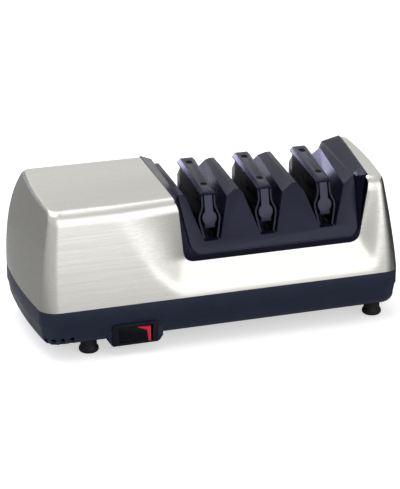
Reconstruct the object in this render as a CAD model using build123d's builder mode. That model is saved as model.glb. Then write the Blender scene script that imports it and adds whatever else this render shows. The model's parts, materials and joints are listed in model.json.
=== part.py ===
"""Three-stage electric knife sharpener, millimetres.

X runs along the machine from the motor end (left) to the last stage (right), Y from the user's
side (front, negative) to the rear, Z up. The origin is on the worktop under the machine's middle.
"""
import os
from math import cos, radians, sin, tan

from build123d import *

os.makedirs("parts", exist_ok=True)

# ---------------------------------------------------------------- overall sizes
length = 254.0
depth = 108.0
height = 107.0
foot_height = 10.5
split_z = 35.1
corner_r = 12.0
corner_fade = 6.0
end_bulge = 2.0
skin_wall = 1.6
tub_wall = 2.5
tub_floor = 2.5
rear_proud = 1.9
fit_gap = 0.15
running_gap = 0.06

# ---------------------------------------------------------------- housing faces
front_lean = radians(9.9)
rear_fall = 25.0
rear_fall_power = 3.2
end_fall_front = 11.0
end_fall_front_power = 1.3
end_fall_rear = 9.0
end_fall_rear_power = 1.9
skin_steps = 6
top_slope = radians(7.1)
top_rear_y = 29.0
nose_bevel = 4.0
nose_drop = 9.0
loft_spare = 8.0
loft_top_z = height + loft_spare

# The swoop: a shallow hollow in the front that falls back to the guide module.
apron_lean = radians(28.7)
apron_crease_z = 40.2
swoop_left_low = -32.0
swoop_left_mid = -49.0
swoop_left_high = -85.0
swoop_right_low = 106.0
swoop_right_mid = 109.0
swoop_right_high = 115.5
swoop_sliver = 0.02
swoop_toe = 1.0

# ---------------------------------------------------------------- recess for the guide module
recess_left = -34.0
recess_right = 112.0
recess_shoulder_z = 106.0
recess_knee_left = -29.5
recess_knee_right = 105.0
recess_knee_z = 91.0
recess_knee_right_z = 97.0
recess_floor_z = 56.0
recess_floor_left = -26.5
recess_floor_right = 96.5
recess_corner_r = 8.0

# ---------------------------------------------------------------- guide module
stage_1_x = -5.2
stage_2_x = 34.2
stage_3_x = 76.2
stage_x = (stage_1_x, stage_2_x, stage_3_x)
module_proud = 1.0
body_left = -24.3
body_right = 100.7
body_floor_z = 59.6
body_taper = 3.6
body_corner_r = 8.5
flare_angle = 25.0
ridge_drop = 5.0
flare_lip = 0.8
flare_draw = 0.086
slot_floor_z = 67.0
slot_half = 5.6
slot_lean_left = radians(17.2)
slot_leans_right = (radians(19.5), radians(19.5), radians(24.0))
ridge_left = 0.6
ridge_right = 3.9
ridge_fall_left = radians(30.0)
ridge_fall_right = radians(50.0)
ridge_rear_y = 26.0
module_deck = 5.0
module_wall = 2.6
disk_opening_half = 8.0
hollow_half_y = 38.0
divider_hollow_front = -20.0
divider_hollow_rear = 24.0
divider_hollow_top = 90.0
shaft_clear = 2.0

# ---------------------------------------------------------------- motor and shaft
shaft_z = 58.0
shaft_r = 3.0
stator_inset = 31.0
stator_x = stator_inset - length / 2
stator_stack = 24.0
shaft_overhang = 12.0
shaft_left = stator_x - shaft_overhang
stator_half_y = 30.0
stator_low = 24.0
stator_high = 82.0
stator_leg = 10.0
window_half_y = 19.0
window_height = 10.0
rotor_r = 15.0
rotor_overhang = 3.0
air_gap = 0.5
coil_wall = 6.0
coil_gap = 0.3
motor_seat_length = 16.0
motor_seat_y = 21.0
bracket_wall = 2.5
bracket_reach = 8.0
bracket_foot = 8.0
bracket_half_y = 26.0
bracket_half_z = 11.0
bush_r = 7.0
bush_length = 8.0
fan_clear = 14.0
fan_x = stator_x + stator_stack + fan_clear
fan_r = 23.0
fan_hub_r = 7.0
fan_width = 9.0
fan_blades = 9
fan_blade_wall = 1.4
end_bracket_clear = 5.5
end_bracket_x = recess_floor_right + end_bracket_clear
end_bracket_wall = 6.0
shaft_right = end_bracket_x + bush_length
end_bracket_half = 9.5
end_bracket_foot = 16.0

# ---------------------------------------------------------------- abrasive disks
disk_r = 20.0
disk_outer = 5.2
disk_inner = 2.2
disk_cone = 1.0
disk_hub_r = 5.0
disk_hub_inner = 1.1
disk_travel = 0.8
drive_pin_r = 0.9
drive_pin_length = 9.0
spring_wire_r = 0.4
spring_clear = 0.3
spring_turns = 2
disk_clear = 1.5

# ---------------------------------------------------------------- guide posts, caps and arms
post_half = 2.75
post_front_y = -29.0
post_lean = radians(13.0)
post_leg_front = 21.8
post_leg_depth = 5.2
post_beam_low = 84.0
post_beam_inset = 1.0
post_rear_high = 92.0
knob_r = 4.9
knob_z = 80.5
knob_chin_half = 3.4
knob_chin_z = 74.2
knob_length = 5.0
cap_front_y = -29.5
cap_rear_y = 16.0
cap_front_half = 5.2
cap_rear_half = 6.4
cap_front_z = 98.2
cap_slope = radians(10.7)
cap_wall = 3.0
cap_bevel = 2.0
cap_screw_ys = (-20.5, 9.5)
cap_screw_r = 1.1
cap_screw_head_r = 2.1
cap_screw_head = 1.0
cap_screw_sink = 0.6
cap_screw_length = 7.0
arm_wall = 1.25
arm_gap = 0.3
arm_rear_y = 15.0
arm_outer = ((4.9, 108.0), (4.9, 88.6), (5.7, 86.0), (7.5, 82.0), (7.7, 80.0), (7.3, 77.5), (5.2, 67.7))

# ---------------------------------------------------------------- base tub and what is on it
band_z = 24.6
band_step = 0.5
tub_taper = 1.2
tub_low_z = foot_height
vent_width = 3.2
vent_top_z = 16.8
vent_depth = 7.0
vent_pitch = 6.3
vent_count = 4
vent_inset = 21.8
vent_right_x = vent_inset - length / 2
tub_edge_r = 6.5
tub_edge_steps = 4
foot_inset_left = 36.2
foot_inset_right = 16.8
foot_inset_y = 15.0
foot_xs = (foot_inset_left - length / 2, length / 2 - foot_inset_right)
foot_y = depth / 2 - foot_inset_y
foot_top_r = 5.4
foot_low_r = 6.6
foot_edge = 1.2
foot_flare_low = 3.0
foot_flare_high = 5.0
foot_recess = 5.0
boss_r = 5.0
boss_height = 20.0
rib_wall = 2.0
screw_r = 1.6
screw_head_r = 3.0
screw_head = 2.0
bezel_inset = 48.6
bezel_width = 30.7
bezel_left = bezel_inset - length / 2
bezel_right = bezel_left + bezel_width
bezel_low = 7.0
bezel_high = 21.5
bezel_face_y = -depth / 2
bezel_flange = 1.4
bezel_corner_r = 2.5
bezel_collar = 0.7
bezel_seat = 4.0
rocker_inset = 15.6
rocker_x = bezel_left + rocker_inset
rocker_half = 10.4
rocker_low = 9.0
rocker_high = 19.0
rocker_gap = 0.35
rocker_tilt = radians(7.0)
rocker_proud = 0.6
rocker_pivot = 6.0
rocker_pivot_y = bezel_face_y + rocker_pivot
rocker_back = 1.5
rocker_back_half = 7.5
rocker_side = 3.5
rocker_dish = 0.5
rocker_pin_r = 1.2
rocker_pin = 0.6
flag_length = 9.0
flag_drop = 2.4
flag_width_high = 2.4
flag_width_low = 1.5
flag_depth = 1.2
switch_setback = 8.8
switch_front_y = bezel_face_y + switch_setback
switch_depth = 14.0
pocket_margin_left = 2.8
pocket_margin_right = 3.8
pocket_left = bezel_left - pocket_margin_left
pocket_right = bezel_right + pocket_margin_right
pocket_shoulder = 2.4
pocket_reach = 25.0
pocket_rear_y = bezel_face_y + pocket_reach
pocket_wall = 0.8
tab_z = 16.0
tab_width = 4.0
tab_wall = 0.8
tab_length = 5.0
tab_pitch = 7.5
lead_r = 0.9
lead_bend = 4.0
lead_run = 8.0
lead_pitch = 3.0
rear_reach = depth / 2 + rear_proud
inlet_inset = 49.0
inlet_x = inlet_inset - length / 2
inlet_z = 23.0
inlet_r = 6.0
inlet_bore_r = 3.4
inlet_flange_r = 8.0
inlet_length = 11.0
lever_pivot_inset = 14.0
lever_pivot_y = depth / 2 - lever_pivot_inset
lever_pivot_r = 3.0
lever_hub_r = 6.5
lever_low = 24.0
lever_wall = 6.0
lever_half = 2.5
lever_slot_half = 5.0
lever_slot_gap = 0.6
lever_back_y = 30.0
lever_column = 4.0
tine_half = 9.2
tine_wall = 1.6
tine_front_y = 13.0
tine_low = 46.0
tine_high = 54.0
pad_wall = 1.0
pad_length = 6.0
cover_left = -14.0
cover_right = 92.0
cover_half_y = 18.0
cover_wall = 1.8
cover_gap = 0.2
cover_margin = 4.0
rail_wall = 1.6
rail_lip = 2.4
rail_low = 7.0
grip_width = 1.2
grip_height = 0.8
grip_length = 20.0
grip_pitch = 3.0
grip_count = 5
magnet_left = -8.0
magnet_right = 28.0
magnet_half_y = 5.0
magnet_height = 2.0

# ---------------------------------------------------------------- planes shared by several pieces
skin_top = Plane(origin=(0, top_rear_y, height), x_dir=(1, 0, 0), z_dir=(0, -sin(top_slope), cos(top_slope)))
shaft_plane = Plane(origin=(0, 0, shaft_z), x_dir=(0, 1, 0), z_dir=(1, 0, 0))


def front_y(z):
    """Y of the housing's front face at height z."""
    return -depth / 2 + (z - split_z) * tan(front_lean)


def rise(z):
    """Share of the housing's height reached at z."""
    return (z - split_z) / (height - split_z)


def rear_y(z):
    """Y of the housing's rear face at height z, upright below and rounding in above."""
    return depth / 2 - rear_fall * rise(z) ** rear_fall_power


def apron_y(z):
    """Y of the apron under the guide module at height z."""
    return front_y(apron_crease_z) + (z - apron_crease_z) * tan(apron_lean)


apron = Plane(origin=(0, apron_y(slot_floor_z), slot_floor_z), x_dir=(1, 0, 0),
              z_dir=(0, -cos(apron_lean), sin(apron_lean)))
module_front = apron.offset(module_proud)


def rounded_outline(z, half_front, half_rear, front, rear, radius, bulge):
    """Plan outline at height z with straight front and rear, bulged ends and round corners."""
    x0, x1 = half_front - bulge, half_rear - bulge
    middle = ((x0 + x1) / 2 + bulge, (front + rear) / 2)
    slant = radius * (1 - cos(radians(45)))
    near, far = front + radius, rear - radius
    with BuildSketch(Plane.XY.offset(z)) as outline:
        with BuildLine():
            Line((radius - x0, front), (x0 - radius, front))
            ThreePointArc((x0 - radius, front), (x0 - slant, front + slant), (x0, near))
            ThreePointArc((x0, near), middle, (x1, far))
            ThreePointArc((x1, far), (x1 - slant, rear - slant), (x1 - radius, rear))
            Line((x1 - radius, rear), (radius - x1, rear))
            ThreePointArc((radius - x1, rear), (slant - x1, rear - slant), (-x1, far))
            ThreePointArc((-x1, far), (-middle[0], middle[1]), (-x0, near))
            ThreePointArc((-x0, near), (slant - x0, front + slant), (radius - x0, front))
        make_face()
    return outline.sketch


def skin_outline(z, inset):
    """Plan outline of the housing at height z, every face moved in by inset."""
    half = length / 2 - inset
    return rounded_outline(z, half - end_fall_front * rise(z) ** end_fall_front_power,
                           half - end_fall_rear * rise(z) ** end_fall_rear_power, front_y(z) + inset,
                           rear_y(z) - inset, corner_r - corner_fade * rise(z) - inset, end_bulge)


def tub_outline(z, inset):
    """Plan outline of the base tub at height z, every face moved in by inset."""
    return rounded_outline(z, length / 2 - inset, length / 2 - inset, -depth / 2 + inset,
                           depth / 2 - inset, corner_r - inset, end_bulge)


def swoop_section(z, left, right, floor_left, floor_right, fall):
    """Plan section of the swoop's cutter: the front face pushed back by fall between two floors."""
    y = front_y(z)
    with BuildSketch(Plane.XY.offset(z)) as section:
        with BuildLine():
            Polyline((left, y), (floor_left, y + fall), (floor_right, y + fall), (right, y),
                     (right, y - depth / 4), (left, y - depth / 4), close=True)
        make_face()
    return section.sketch


def recess_face(inset):
    """Outline of the module's recess seen from the front, moved in by inset."""
    with BuildSketch(Plane.XZ) as face:
        with BuildLine():
            Polyline((recess_left, loft_top_z), (recess_left, recess_shoulder_z),
                     (recess_knee_left, recess_knee_z), (recess_floor_left, recess_floor_z),
                     (recess_floor_right, recess_floor_z), (recess_knee_right, recess_knee_right_z),
                     (recess_right, recess_shoulder_z), (recess_right, loft_top_z), close=True)
        make_face()
        fillet(face.vertices().sort_by(Axis.Y)[:-2], recess_corner_r)
        if inset:
            offset(amount=-inset, kind=Kind.INTERSECTION)
    return face.sketch


def skin(inset):
    """Solid inside the housing's faces, moved in by inset, with the swoop cut into its front."""
    mid_fall = apron_y(recess_floor_z) - front_y(recess_floor_z)
    with BuildPart() as solid:
        step = (loft_top_z - split_z) / skin_steps
        loft([skin_outline(split_z + step * index, inset) for index in range(skin_steps + 1)])
        split(bisect_by=skin_top.offset(-inset), keep=Keep.BOTTOM)
        low = swoop_section(apron_crease_z, swoop_left_low, swoop_right_low,
                            swoop_left_low + swoop_toe, swoop_right_low - swoop_toe, inset + swoop_sliver)
        middle = swoop_section(recess_floor_z, swoop_left_mid, swoop_right_mid,
                               recess_floor_left, recess_floor_right, inset + mid_fall)
        high = swoop_section(loft_top_z, swoop_left_high, swoop_right_high,
                             recess_left, recess_right, inset + swoop_sliver)
        loft([low, middle], ruled=True, mode=Mode.SUBTRACT)
        loft([middle, high], ruled=True, mode=Mode.SUBTRACT)
    return solid.part


# ================================================================ housing
nose_z = height - (top_rear_y - front_y(height - nose_drop)) * tan(top_slope)
nose_tilt = (radians(90) - front_lean + top_slope) / 2
nose_plane = Plane(origin=(0, front_y(nose_z) + nose_bevel / 2, nose_z), x_dir=(1, 0, 0),
                   z_dir=(0, -cos(nose_tilt), sin(nose_tilt)))
foot_places = [(x, y) for x in foot_xs for y in (-foot_y, foot_y)]

with BuildPart() as bosses:
    with BuildSketch(Plane.XY.offset(split_z)):
        with Locations(*foot_places):
            Circle(boss_r)
            Rectangle(rib_wall, depth / 2)
    extrude(amount=boss_height)
    with BuildSketch(Plane.XY.offset(split_z)):
        Rectangle(length, 2 * (foot_y - boss_r))
    extrude(amount=boss_height, mode=Mode.SUBTRACT)
    add(skin(skin_wall / 2), mode=Mode.INTERSECT)

with BuildPart() as top_housing:
    add(skin(0))
    split(bisect_by=nose_plane, keep=Keep.BOTTOM)
    add(skin(skin_wall), mode=Mode.SUBTRACT)
    extrude(recess_face(0), amount=depth, both=True, mode=Mode.SUBTRACT)
    add(bosses.part)
    with BuildSketch(Plane.XY.offset(split_z)):
        with Locations(*foot_places):
            Circle(screw_r + running_gap)
    extrude(amount=boss_height - boss_r, mode=Mode.SUBTRACT)
top_housing.part.label = "top_housing"
export_step(top_housing.part, "parts/top_housing.step")

# ================================================================ guide module
slope_plane = Plane(origin=(0, top_rear_y, height), x_dir=(1, 0, 0),
                    z_dir=(0, -cos(top_slope), -sin(top_slope)))


def body_face():
    """Outline of the module's sunk body on its leaning front plane (local Y runs up the slope)."""
    low = (body_floor_z - slot_floor_z) / cos(apron_lean)
    knee = (recess_knee_z - slot_floor_z) / cos(apron_lean)
    high = (loft_top_z - slot_floor_z) / cos(apron_lean)
    with BuildSketch(module_front) as face:
        with BuildLine():
            Polyline((body_left, high), (body_left, knee), (body_left + body_taper, low),
                     (body_right - body_taper, low), (body_right, knee), (body_right, high), close=True)
        make_face()
        fillet(face.vertices().sort_by(Axis.Y)[:2], body_corner_r)
    return face.sketch


def along_slope(points):
    """Prism of a front view, X and height over the top face, run down the top's slope."""
    with BuildPart() as prism:
        with BuildSketch(slope_plane):
            with BuildLine():
                Polyline(*points, close=True)
            make_face()
        extrude(amount=depth, both=True)
    return prism.part


def front_view(points):
    """Face drawn in the XZ plane from its corner points."""
    with BuildSketch(Plane.XZ) as view:
        with BuildLine():
            Polyline(*points, close=True)
        make_face()
    return view.sketch


def box_between(low, high):
    """Plain block between two corners."""
    size = [b - a for a, b in zip(low, high)]
    with BuildPart(Plane.XY) as block:
        with Locations(tuple((a + b) / 2 for a, b in zip(low, high))):
            Box(*size)
    return block.part


slot_rise = loft_top_z - slot_floor_z
deck_low = slot_floor_z - module_deck
dividers = [(a + b) / 2 for a, b in zip(stage_x, stage_x[1:])]
ridges = [body_left] + dividers + [body_right - ridge_right / 2]
ridge_rear_z = height - (top_rear_y - ridge_rear_y) * tan(top_slope) - ridge_drop

# What the flared rim leaves open: its right edge follows the recess, which narrows to the front.
with BuildPart() as flare:
    for reach in (-depth, depth):
        rim = recess_right - flare_lip - flare_draw * reach
        with BuildSketch(slope_plane.offset(reach)):
            with BuildLine():
                Polyline((recess_left + flare_lip, 0), (body_left, -ridge_drop),
                         (body_right, -ridge_drop), (rim, 0), (2 * rim - body_right, ridge_drop),
                         (length, depth), (recess_left, depth), close=True)
            make_face()
    loft(ruled=True)

with BuildPart() as guide_module:
    add(skin(0))
    extrude(recess_face(fit_gap), amount=depth, both=True, mode=Mode.INTERSECT)
    extrude(body_face(), amount=depth / 4, taper=-flare_angle, mode=Mode.SUBTRACT)
    extrude(body_face(), amount=-module_deck)
    add(flare.part, mode=Mode.SUBTRACT)
    # The ridges end in a slope at the rear.
    with BuildSketch(Plane.YZ.offset(body_left)):
        with BuildLine():
            Polyline((ridge_rear_y, ridge_rear_z), (depth, ridge_rear_z + ridge_rear_y - depth),
                     (depth, loft_top_z), (ridge_rear_y, loft_top_z), close=True)
        make_face()
    extrude(amount=body_right - body_left, mode=Mode.SUBTRACT)
    for index, center in enumerate(stage_x):
        slot_left = center - slot_half - slot_rise * tan(slot_lean_left)
        slot_right = center + slot_half + slot_rise * tan(slot_leans_right[index])
        slot = front_view([(center - slot_half, slot_floor_z), (slot_left, loft_top_z),
                           (slot_right, loft_top_z), (center + slot_half, slot_floor_z)])
        extrude(slot, amount=depth, both=True, mode=Mode.SUBTRACT)
        # Each ridge falls gently to the slot at its left and steeply to the slot at its right.
        left, right = ridges[index] + ridge_right, ridges[index + 1] + ridge_left
        steep, gentle = tan(ridge_fall_right), tan(ridge_fall_left)
        fall = (right - left) * steep * gentle / (steep + gentle)
        valley = (left + fall / steep, -ridge_drop - fall)
        add(along_slope([(left, -ridge_drop), valley, (right, -ridge_drop)]), mode=Mode.SUBTRACT)
        # The disks turn in an opening through the deck.
        opening_y = disk_r + disk_clear
        add(box_between((center - disk_opening_half, -opening_y, recess_floor_z),
                        (center + disk_opening_half, opening_y, slot_floor_z)), mode=Mode.SUBTRACT)
    # Hollow underside, below the deck and inside each divider.
    hollow_in = module_wall + recess_corner_r / 2
    add(box_between((recess_floor_left + hollow_in, -hollow_half_y, split_z),
                    (recess_floor_right - hollow_in, hollow_half_y, deck_low)), mode=Mode.SUBTRACT)
    for index, center in enumerate(dividers):
        half = (stage_x[index + 1] - stage_x[index]) / 2 - slot_half - module_wall
        half_top = half - (divider_hollow_top - slot_floor_z) * tan(slot_leans_right[index])
        hollow = front_view([(center - half, recess_floor_z), (center - half_top, divider_hollow_top),
                             (center + half_top, divider_hollow_top), (center + half, recess_floor_z)])
        extrude(hollow, amount=-divider_hollow_front, mode=Mode.SUBTRACT)
        extrude(hollow, amount=-divider_hollow_rear, mode=Mode.SUBTRACT)
    with BuildSketch(shaft_plane.offset(recess_left)):
        Circle(shaft_r + shaft_clear)
    extrude(amount=recess_right - recess_left, mode=Mode.SUBTRACT)
guide_module.part.label = "guide_module"
export_step(guide_module.part, "parts/guide_module.step")

# ================================================================ guide posts
cap_rise = tan(cap_slope)
cap_normal = (0, -sin(cap_slope), cos(cap_slope))
cap_under = Plane(origin=(0, cap_front_y, cap_front_z - cap_wall), x_dir=(1, 0, 0), z_dir=cap_normal)
post_lean_normal = (0, -cos(post_lean), sin(post_lean))
leg_rear = post_leg_front + post_leg_depth


def cap_top(y):
    """Height of a cap's sloping top at y."""
    return cap_front_z + (y - cap_front_y) * cap_rise


def post_front(z):
    """Y of the post's leaning front face at height z."""
    return post_front_y - (cap_front_z - z) * tan(post_lean)


knob_plane = Plane(origin=(0, post_front(knob_z), knob_z), x_dir=(1, 0, 0), z_dir=post_lean_normal)


def cap_screw_plane(x, y, sink):
    """Plane on a cap's top at a screw, sunk into it."""
    return Plane(origin=(x, y, cap_top(y)), x_dir=(1, 0, 0), z_dir=cap_normal).offset(-sink)


def post_side(low):
    """Side view of a post's beam and its two legs, which straddle the disks."""
    front = post_front_y + post_beam_inset
    with BuildSketch(Plane.YZ) as view:
        with BuildLine():
            Polyline((front, low), (front, cap_top(front) - cap_wall),
                     (cap_rear_y, cap_top(cap_rear_y) - cap_wall), (leg_rear, post_rear_high),
                     (leg_rear, slot_floor_z), (post_leg_front, slot_floor_z), (post_leg_front, low),
                     (-post_leg_front, low), (-post_leg_front, slot_floor_z), (-leg_rear, slot_floor_z),
                     (-leg_rear, low), close=True)
        make_face()
    return view.sketch


def knob_view(center):
    """Front view of a post's face: its neck, round knob and squared chin."""
    with BuildSketch(Plane.XZ) as view:
        with Locations((center, knob_z)):
            Circle(knob_r)
        with Locations((center, (knob_z + knob_chin_z) / 2)):
            Rectangle(2 * knob_chin_half, knob_z - knob_chin_z)
        with Locations((center, (knob_z + cap_front_z) / 2)):
            Rectangle(2 * post_half, cap_front_z - knob_z)
    return view.sketch


def arm_view(center, side):
    """Front view of one leaf spring arm, which follows the post's neck and knob."""
    outer = [(center + side * x, z) for x, z in arm_outer]
    inner = [(center + side * (x - arm_wall), z) for x, z in reversed(arm_outer)]
    return front_view(outer + inner)


for number, center in enumerate(stage_x, 1):
    with BuildPart() as guide_post:
        extrude(knob_view(center), amount=depth, mode=Mode.ADD)
        split(bisect_by=knob_plane, keep=Keep.BOTTOM)
        split(bisect_by=knob_plane.offset(-knob_length), keep=Keep.TOP)
        split(bisect_by=cap_under, keep=Keep.BOTTOM)
        side = post_side(post_beam_low)
        extrude(side.moved(Location((center, 0, 0))), amount=post_half, both=True)
        for y in cap_screw_ys:
            with BuildSketch(cap_screw_plane(center, y, cap_screw_sink)):
                Circle(cap_screw_r + running_gap)
            extrude(amount=-cap_screw_length - cap_screw_head, mode=Mode.SUBTRACT)
    guide_post.part.label = f"guide_post_{number}"
    export_step(guide_post.part, f"parts/guide_post_{number}.step")

    with BuildPart() as post_cap:
        with BuildSketch(Plane.XY.offset(slot_floor_z)):
            with BuildLine():
                Polyline((center - cap_front_half, cap_front_y), (center + cap_front_half, cap_front_y),
                         (center + cap_rear_half, cap_rear_y), (center - cap_rear_half, cap_rear_y),
                         close=True)
            make_face()
        extrude(amount=height)
        split(bisect_by=cap_under, keep=Keep.TOP)
        split(bisect_by=cap_under.offset(cap_wall * cos(cap_slope)), keep=Keep.BOTTOM)
        rails = post_cap.edges().sort_by(SortBy.LENGTH)[-4:]
        chamfer(rails.sort_by(Axis.Z)[-2:], cap_bevel)
        for y in cap_screw_ys:
            with BuildSketch(cap_screw_plane(center, y, 0)):
                Circle(cap_screw_head_r + fit_gap)
            extrude(amount=-cap_screw_sink - cap_screw_head, mode=Mode.SUBTRACT)
            with BuildSketch(cap_screw_plane(center, y, 0)):
                Circle(cap_screw_r + fit_gap)
            extrude(amount=-cap_screw_length, mode=Mode.SUBTRACT)
    post_cap.part.label = f"post_cap_{number}"
    export_step(post_cap.part, f"parts/post_cap_{number}.step")

    for name, side in (("left", -1), ("right", 1)):
        with BuildPart() as arm:
            extrude(arm_view(center, side), amount=depth)
            extrude(arm_view(center, side), amount=-arm_rear_y)
            split(bisect_by=knob_plane, keep=Keep.BOTTOM)
            split(bisect_by=cap_under.offset(-arm_gap), keep=Keep.BOTTOM)
            with BuildSketch(shaft_plane.offset(center - disk_r)):
                Circle(disk_r + disk_clear)
            extrude(amount=2 * disk_r, mode=Mode.SUBTRACT)
        arm.part.label = f"guide_spring_{name}_{number}"
        export_step(arm.part, f"parts/guide_spring_{name}_{number}.step")

with BuildPart() as cap_screws:
    for center in stage_x:
        for y in cap_screw_ys:
            with BuildSketch(cap_screw_plane(center, y, cap_screw_sink)):
                Circle(cap_screw_head_r)
                Rectangle(cap_screw_head_r, cap_screw_head_r / 4, mode=Mode.SUBTRACT)
            extrude(amount=-cap_screw_head)
            with BuildSketch(cap_screw_plane(center, y, cap_screw_sink + cap_screw_head / 2)):
                Circle(cap_screw_r)
            extrude(amount=-cap_screw_length + cap_screw_head / 2)
cap_screws.part.label = "cap_screws"
export_step(cap_screws.part, "parts/cap_screws.step")

# ================================================================ shaft, disks and motor
shaft_axis = Axis((0, 0, shaft_z), (1, 0, 0))


def along_shaft(radius, start, end, bore=0.0):
    """Round piece on the shaft's axis between two X values, with an optional bore."""
    with BuildPart() as piece:
        with BuildSketch(shaft_plane.offset(start)):
            Circle(radius)
            if bore:
                Circle(bore, mode=Mode.SUBTRACT)
        extrude(amount=end - start)
    return piece.part


with BuildPart() as drive_shaft:
    add(along_shaft(shaft_r, shaft_left, shaft_right))
    with BuildSketch(Plane.XY.offset(shaft_z - shaft_r)):
        with Locations(*[(center, 0) for center in stage_x]):
            Circle(drive_pin_r + running_gap)
    extrude(amount=2 * shaft_r, mode=Mode.SUBTRACT)
drive_shaft.part.label = "drive_shaft"
export_step(drive_shaft.part, "parts/drive_shaft.step")

with BuildPart() as drive_pins:
    with BuildSketch(Plane.XY.offset(shaft_z - drive_pin_length / 2)):
        with Locations(*[(center, 0) for center in stage_x]):
            Circle(drive_pin_r)
    extrude(amount=drive_pin_length)
drive_pins.part.label = "drive_pins"
export_step(drive_pins.part, "parts/drive_pins.step")

for number, center in enumerate(stage_x, 1):
    for name, side in (("left", -1), ("right", 1)):
        bore = shaft_z + shaft_r + running_gap
        slot_floor = drive_pin_r + disk_travel + fit_gap
        with BuildPart() as disk:
            with BuildSketch(Plane.XZ):
                with BuildLine():
                    Polyline((center + side * disk_hub_inner, bore),
                             (center + side * disk_hub_inner, shaft_z + disk_hub_r),
                             (center + side * disk_inner, shaft_z + disk_hub_r),
                             (center + side * disk_inner, shaft_z + disk_r),
                             (center + side * (disk_outer - disk_cone), shaft_z + disk_r),
                             (center + side * disk_outer, bore), close=True)
                make_face()
            revolve(axis=shaft_axis)
            near, far = sorted((center, center + side * slot_floor))
            half = drive_pin_r + fit_gap
            add(box_between((near, -half, shaft_z - disk_hub_r), (far, half, shaft_z + disk_hub_r)),
                mode=Mode.SUBTRACT)
        disk.part.label = f"disk_{name}_{number}"
        export_step(disk.part, f"parts/disk_{name}_{number}.step")

    # The coil rides on the two hubs and clears the disks when both are pressed in.
    with BuildPart() as spring:
        reach = disk_inner - disk_travel - spring_wire_r - running_gap
        mean_r = disk_hub_r + spring_clear + spring_wire_r
        with BuildLine() as coil_path:
            Helix(pitch=2 * reach / spring_turns, height=2 * reach, radius=mean_r,
                  center=(center - reach, 0, shaft_z), direction=(1, 0, 0))
        with BuildSketch(Plane(origin=coil_path.line @ 0, z_dir=coil_path.line % 0)):
            Circle(spring_wire_r)
        sweep()
    spring.part.label = f"disk_spring_{number}"
    export_step(spring.part, f"parts/disk_spring_{number}.step")

stator_end = stator_x + stator_stack
leg_top = stator_low + stator_leg
bolt_ys = (-(bracket_half_y - bracket_foot / 2), bracket_half_y - bracket_foot / 2)

with BuildPart() as motor_stator:
    add(box_between((stator_x, -stator_half_y, stator_low), (stator_end, stator_half_y, stator_high)))
    add(box_between((stator_x, -window_half_y, leg_top),
                    (stator_end, window_half_y, leg_top + window_height)), mode=Mode.SUBTRACT)
    add(along_shaft(rotor_r + air_gap, stator_x, stator_end), mode=Mode.SUBTRACT)
    with BuildSketch(shaft_plane.offset(stator_x)):
        with Locations(*[(y, 0) for y in bolt_ys]):
            Circle(screw_r + running_gap)
    extrude(amount=stator_stack, mode=Mode.SUBTRACT)
motor_stator.part.label = "motor_stator"
export_step(motor_stator.part, "parts/motor_stator.step")

with BuildPart() as motor_coil:
    inner_low = (stator_x - coil_gap, stator_low - coil_gap)
    inner_high = (stator_end + coil_gap, leg_top + coil_gap)
    half = window_half_y - coil_gap
    add(box_between((inner_low[0] - coil_wall, -half, inner_low[1] - coil_wall),
                    (inner_high[0] + coil_wall, half, inner_high[1] + coil_wall)))
    fillet(motor_coil.edges().filter_by(Axis.Y), coil_wall / 2)
    add(box_between((inner_low[0], -half, inner_low[1]), (inner_high[0], half, inner_high[1])),
        mode=Mode.SUBTRACT)
motor_coil.part.label = "motor_coil"
export_step(motor_coil.part, "parts/motor_coil.step")

with BuildPart() as motor_rotor:
    add(along_shaft(rotor_r, stator_x - rotor_overhang, stator_end + rotor_overhang, shaft_r + running_gap))
motor_rotor.part.label = "motor_rotor"
export_step(motor_rotor.part, "parts/motor_rotor.step")

bracket_faces = {"left": (stator_x, -1), "right": (stator_end, 1)}
for name, (face_x, side) in bracket_faces.items():
    plate_x = face_x + side * bracket_reach
    with BuildPart() as bracket:
        for y in bolt_ys:
            foot = sorted((face_x, plate_x))
            add(box_between((foot[0], y - bracket_foot / 2, shaft_z - bracket_foot),
                            (foot[1], y + bracket_foot / 2, shaft_z + bracket_foot)))
        plate = sorted((plate_x, plate_x + side * bracket_wall))
        add(box_between((plate[0], -bracket_half_y, shaft_z - bracket_half_z),
                        (plate[1], bracket_half_y, shaft_z + bracket_half_z)))
        add(along_shaft(bush_r, plate[0], plate[1]), mode=Mode.SUBTRACT)
        with BuildSketch(shaft_plane.offset(min(face_x, plate[0]))):
            with Locations(*[(y, 0) for y in bolt_ys]):
                Circle(screw_r + running_gap)
        extrude(amount=bracket_reach + bracket_wall, mode=Mode.SUBTRACT)
    bracket.part.label = f"motor_bracket_{name}"
    export_step(bracket.part, f"parts/motor_bracket_{name}.step")

    middle = plate_x + side * bracket_wall / 2
    with BuildPart() as bush:
        add(along_shaft(bush_r, middle - bush_length / 2, middle + bush_length / 2, shaft_r + running_gap))
    bush.part.label = f"motor_bush_{name}"
    export_step(bush.part, f"parts/motor_bush_{name}.step")

bolt_left = stator_x - bracket_reach - bracket_wall
bolt_right = stator_end + bracket_reach + bracket_wall
with BuildPart() as motor_bolts:
    for start, amount, radius in ((bolt_left, bolt_right - bolt_left + screw_head, screw_r),
                                  (bolt_left - screw_head, screw_head, screw_head_r),
                                  (bolt_right, screw_head, screw_head_r)):
        with BuildSketch(shaft_plane.offset(start)):
            with Locations(*[(y, 0) for y in bolt_ys]):
                Circle(radius)
        extrude(amount=amount)
motor_bolts.part.label = "motor_bolts"
export_step(motor_bolts.part, "parts/motor_bolts.step")

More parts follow.
